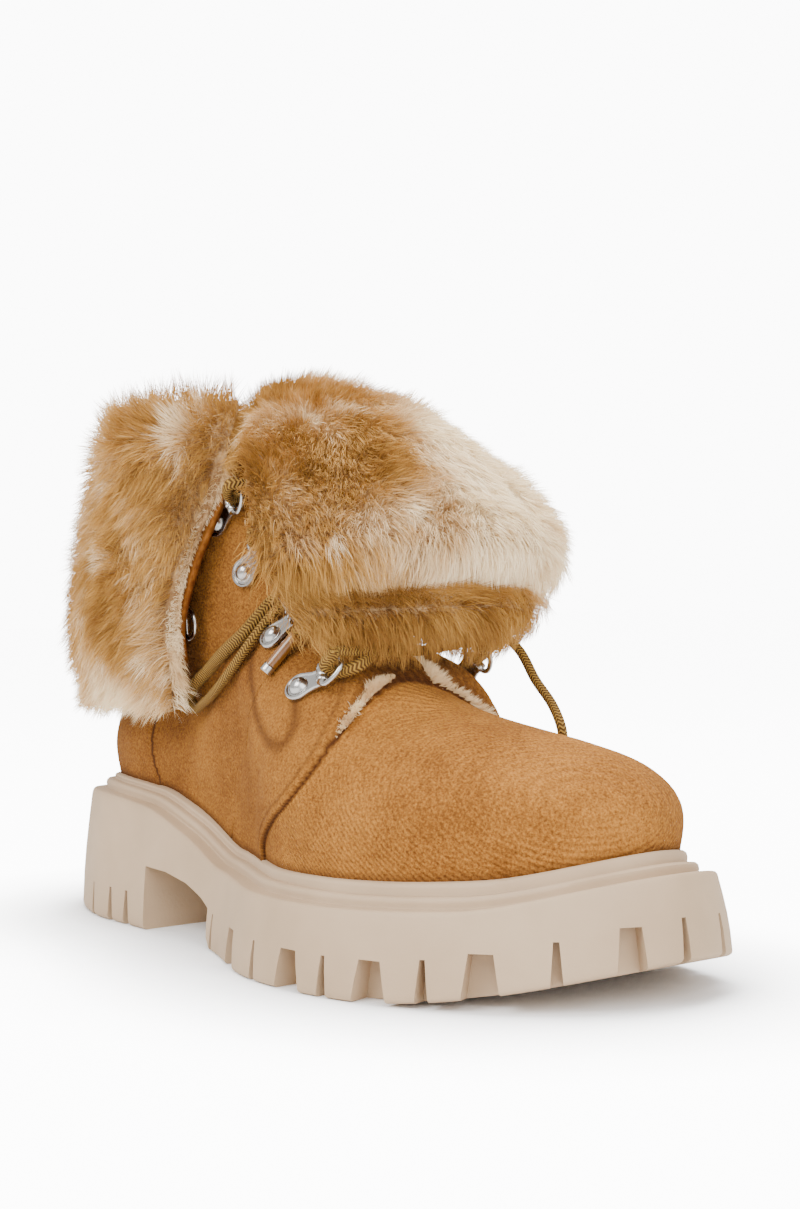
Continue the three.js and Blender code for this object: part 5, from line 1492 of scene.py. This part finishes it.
def cuff_tone(places):
    """Slanting bands of brown and cream round the cuff."""
    slant = np.stack([places[:, 0] * 0.9 + places[:, 2] * 0.45, places[:, 1],
                      places[:, 2] * 0.8 - places[:, 0] * 0.35], axis=1)
    broad = value_noise(slant * np.array([1.0, 1.0, 0.45]), 17, 3)
    fine = value_noise(places, 4.5, 5)
    hem = 0.45 * smoothstep(-places[:, 2], -HEM_HIGH, -HEM_LOW)
    fleck = 0.5 * smoothstep(value_noise(slant * np.array([1.0, 1.0, 0.5]), 5.5, 13), 0.72, 0.86)
    tone = 0.34 + hem + 1.1 * (broad - 0.5) + 0.45 * (fine - 0.5) + fleck
    return np.clip(tone + chance.normal(size=len(places)) * 0.08, 0, 1)


HAIRS = int(37000 * detail * detail)
# Heights between which the cuff's top stands up, and its hem turns pale
TOP_LOW = 148
TOP_HIGH = 172
HEM_HIGH = 100
HEM_LOW = 76
shaft_axis = np.array([x_at(0.27), 0, 0])
cuff_loop = np.concatenate([cuff_grid, cuff_grid[:1]])
section = np.arange(cuff_grid.shape[0]) / cuff_grid.shape[0]
cuff_keep = np.where((section > 0.36) | (section < 0.06), 1.0, 0.12)[:, None] * np.ones(cuff_grid.shape[1])
for layer in range(3):
    places, out, _, _ = scatter(cuff_loop, HAIRS, False, cuff_keep)
    outward = unit((places - shaft_axis) * np.array([1, 1, 0]))
    inside_out = ((out * outward).sum(axis=1) < 0)[:, None] & (places[:, 2:3] < 150)
    out = np.where(inside_out, -out, out)
    sway = np.stack([value_noise(places, 14, 20 + k) - 0.5 for k in range(3)], axis=1)
    curl = np.stack([value_noise(places, 4, 30 + k) - 0.5 for k in range(3)], axis=1)
    loose = chance.normal(size=places.shape) * 0.22
    down = np.array([0, 0, -1.0])
    starts = unit(out + 0.5 * sway + 0.5 * curl + loose)
    top = smoothstep(places[:, 2], TOP_LOW, TOP_HIGH)[:, None]
    finishes = unit(0.4 * out + (1 - top) * down * 0.9 + 1.4 * sway + 0.7 * curl + 0.7 * loose
                    + top * np.array([0, 0, 0.55]))
    lengths = (9.8 + 4.2 * value_noise(places, 9, 40)) * chance.uniform(0.6, 1.15, HAIRS)
    tone = cuff_tone(places)
    hairs = make_hairs(f"cuff_hair_{layer + 1}", places, starts, finishes, lengths,
                       chance.uniform(0.16, 0.34, HAIRS), tone)
    dress(hairs, "fur", fur_hair)

# Pale fleece over the two ends of the cuff, beside the flap's cut edge
for name, column, neighbour in (("inner", 0, 1), ("outer", -1, -2)):
    ring = cuff_grid[:, column]
    middle = cap_line(ring)
    forward = unit(ring.mean(axis=0) - cuff_grid[:, neighbour].mean(axis=0))
    count = int(7000 * detail)
    pick = chance.integers(0, len(ring), count)
    share = chance.random((count, 1)) ** 0.7
    places = ring[pick] + (middle[pick] - ring[pick]) * share
    beside = unit(ring[pick] - middle[pick])
    loose = chance.normal(size=places.shape) * 0.35
    starts = unit(forward + 0.5 * beside + loose)
    finishes = unit(0.7 * forward + 0.6 * beside + np.array([0, 0, -0.7]) + loose)
    low_share = smoothstep(-places[:, 2], -106, -80)
    high_share = smoothstep(places[:, 2], 132, 158)
    lengths = (2.0 + 5.5 * low_share + 6.5 * high_share) * chance.uniform(0.6, 1.2, count)
    tones = np.clip(0.8 + 0.4 * (value_noise(places, 6, 90) - 0.5) - 0.4 * high_share, 0, 1)
    hairs = make_hairs(f"cuff_end_{name}", places, starts, finishes, lengths,
                       chance.uniform(0.16, 0.3, count), tones, clump=2.4)
    dress(hairs, "fur", fur_hair)

# Fleece pressed out from under the quarters, round the corner of the eyestay
for name, side, first, last in (("outer", -1, 58, 75), ("inner", 1, 52, 85)):
    count = int(5000 * detail)
    spot = chance.integers(first, last, count)
    away = unit(quarter_edge[spot + 1] - quarter_edge[spot])
    flat_out = np.stack([away[:, 1], -away[:, 0]], axis=1)
    seat = quarter_edge[spot] - flat_out * chance.uniform(-0.2, 1.6, (count, 1))
    origins = np.column_stack([seat[:, 0], np.zeros(count), seat[:, 1]])
    places = cast(lambda x, y, z: form_field(x, y, z, 0.6), origins,
                  np.tile([0.0, float(side), 0.0], (count, 1)), BALL_WIDTH)
    outward = np.column_stack([flat_out[:, 0], np.full(count, 0.35 * side), flat_out[:, 1]])
    loose = chance.normal(size=places.shape) * 0.3
    starts = unit(outward + loose)
    finishes = unit(outward + np.array([0, 0.4 * side, 0.3]) + loose)
    shape = np.sin(math.pi * (spot - first) / (last - first))
    uneven = 0.35 + 1.1 * value_noise(places, 2.6, 92)
    lengths = (0.6 + 4.6 * shape) * uneven * chance.uniform(0.5, 1.1, count)
    tones = np.clip(0.85 + 0.4 * (value_noise(places, 5, 91) - 0.5), 0, 1)
    hairs = make_hairs(f"eyestay_fleece_{name}", places, starts, finishes, lengths,
                       chance.uniform(0.16, 0.28, count), tones, clump=2.0)
    dress(hairs, "lining", fur_hair)

tongue_grid = tongue_fur_grid(int(150 * detail), 72)
tongue_body = assemble("tongue_under_fur", [
    (tongue_grid.reshape(-1, 3), grid_faces(len(tongue_grid), 72, wrap=True))])
dress(tongue_body, "fur", under_fur, "tongue_fur")


def tongue_tone(places):
    """Brown and tan towards the ankle, cream towards the toe, and dark brown over the lip below the crease:
    the lip's own brown with painted shade under the overhang.
    """
    slant = np.stack([places[:, 0] * 0.8 + places[:, 2] * 0.4, places[:, 1], places[:, 2] * 0.7], axis=1)
    broad = value_noise(slant, 13, 7)
    fine = value_noise(places, 5, 9)
    inner = smoothstep(places[:, 1] * 0.9 + places[:, 0] * 0.25, 12, 54)
    # The lip below the crease turns dark brown: partly its own colour, partly painted shade under the
    # overhanging fur
    lip = smoothstep(-places[:, 2], -119, -110)
    fleck = 0.45 * smoothstep(value_noise(slant, 5.5, 15), 0.72, 0.86)
    tone = 0.44 + 0.6 * inner + 0.65 * (broad - 0.5) + 0.35 * (fine - 0.5) + fleck
    lip_tone = 0.16 + 0.45 * (broad - 0.5) + 0.6 * smoothstep(places[:, 1], 32, 54)
    tone = tone * (1 - lip) + lip_tone * lip
    return np.clip(tone + chance.normal(size=len(places)) * 0.08, 0, 1)


turn = np.arange(72)
tongue_keep = np.where(turn < 37, 1.0, 0.1)[None, :] * np.ones((tongue_grid.shape[0], 1))
for layer in range(2):
    places, out, rows_way, _ = scatter(tongue_grid, HAIRS, True, tongue_keep)
    core = np.array([x_at(0.5), 0, 125.0])
    out = np.where((out * (places - core)).sum(axis=1, keepdims=True) < 0, -out, out)
    sway = np.stack([value_noise(places, 15, 50 + k) - 0.5 for k in range(3)], axis=1)
    curl = np.stack([value_noise(places, 4.5, 60 + k) - 0.5 for k in range(3)], axis=1)
    loose = chance.normal(size=places.shape) * 0.2
    starts = unit(out + 0.4 * sway + 0.4 * curl + loose)
    finishes = unit(0.35 * out + rows_way * 1.0 + 1.3 * sway + 0.6 * curl + 0.6 * loose)
    lengths = (9.8 + 4.2 * value_noise(places, 9, 70)) * chance.uniform(0.6, 1.15, HAIRS)
    hairs = make_hairs(f"tongue_hair_{layer + 1}", places, starts, finishes, lengths,
                       chance.uniform(0.16, 0.34, HAIRS), tongue_tone(places))
    dress(hairs, "fur", fur_hair)
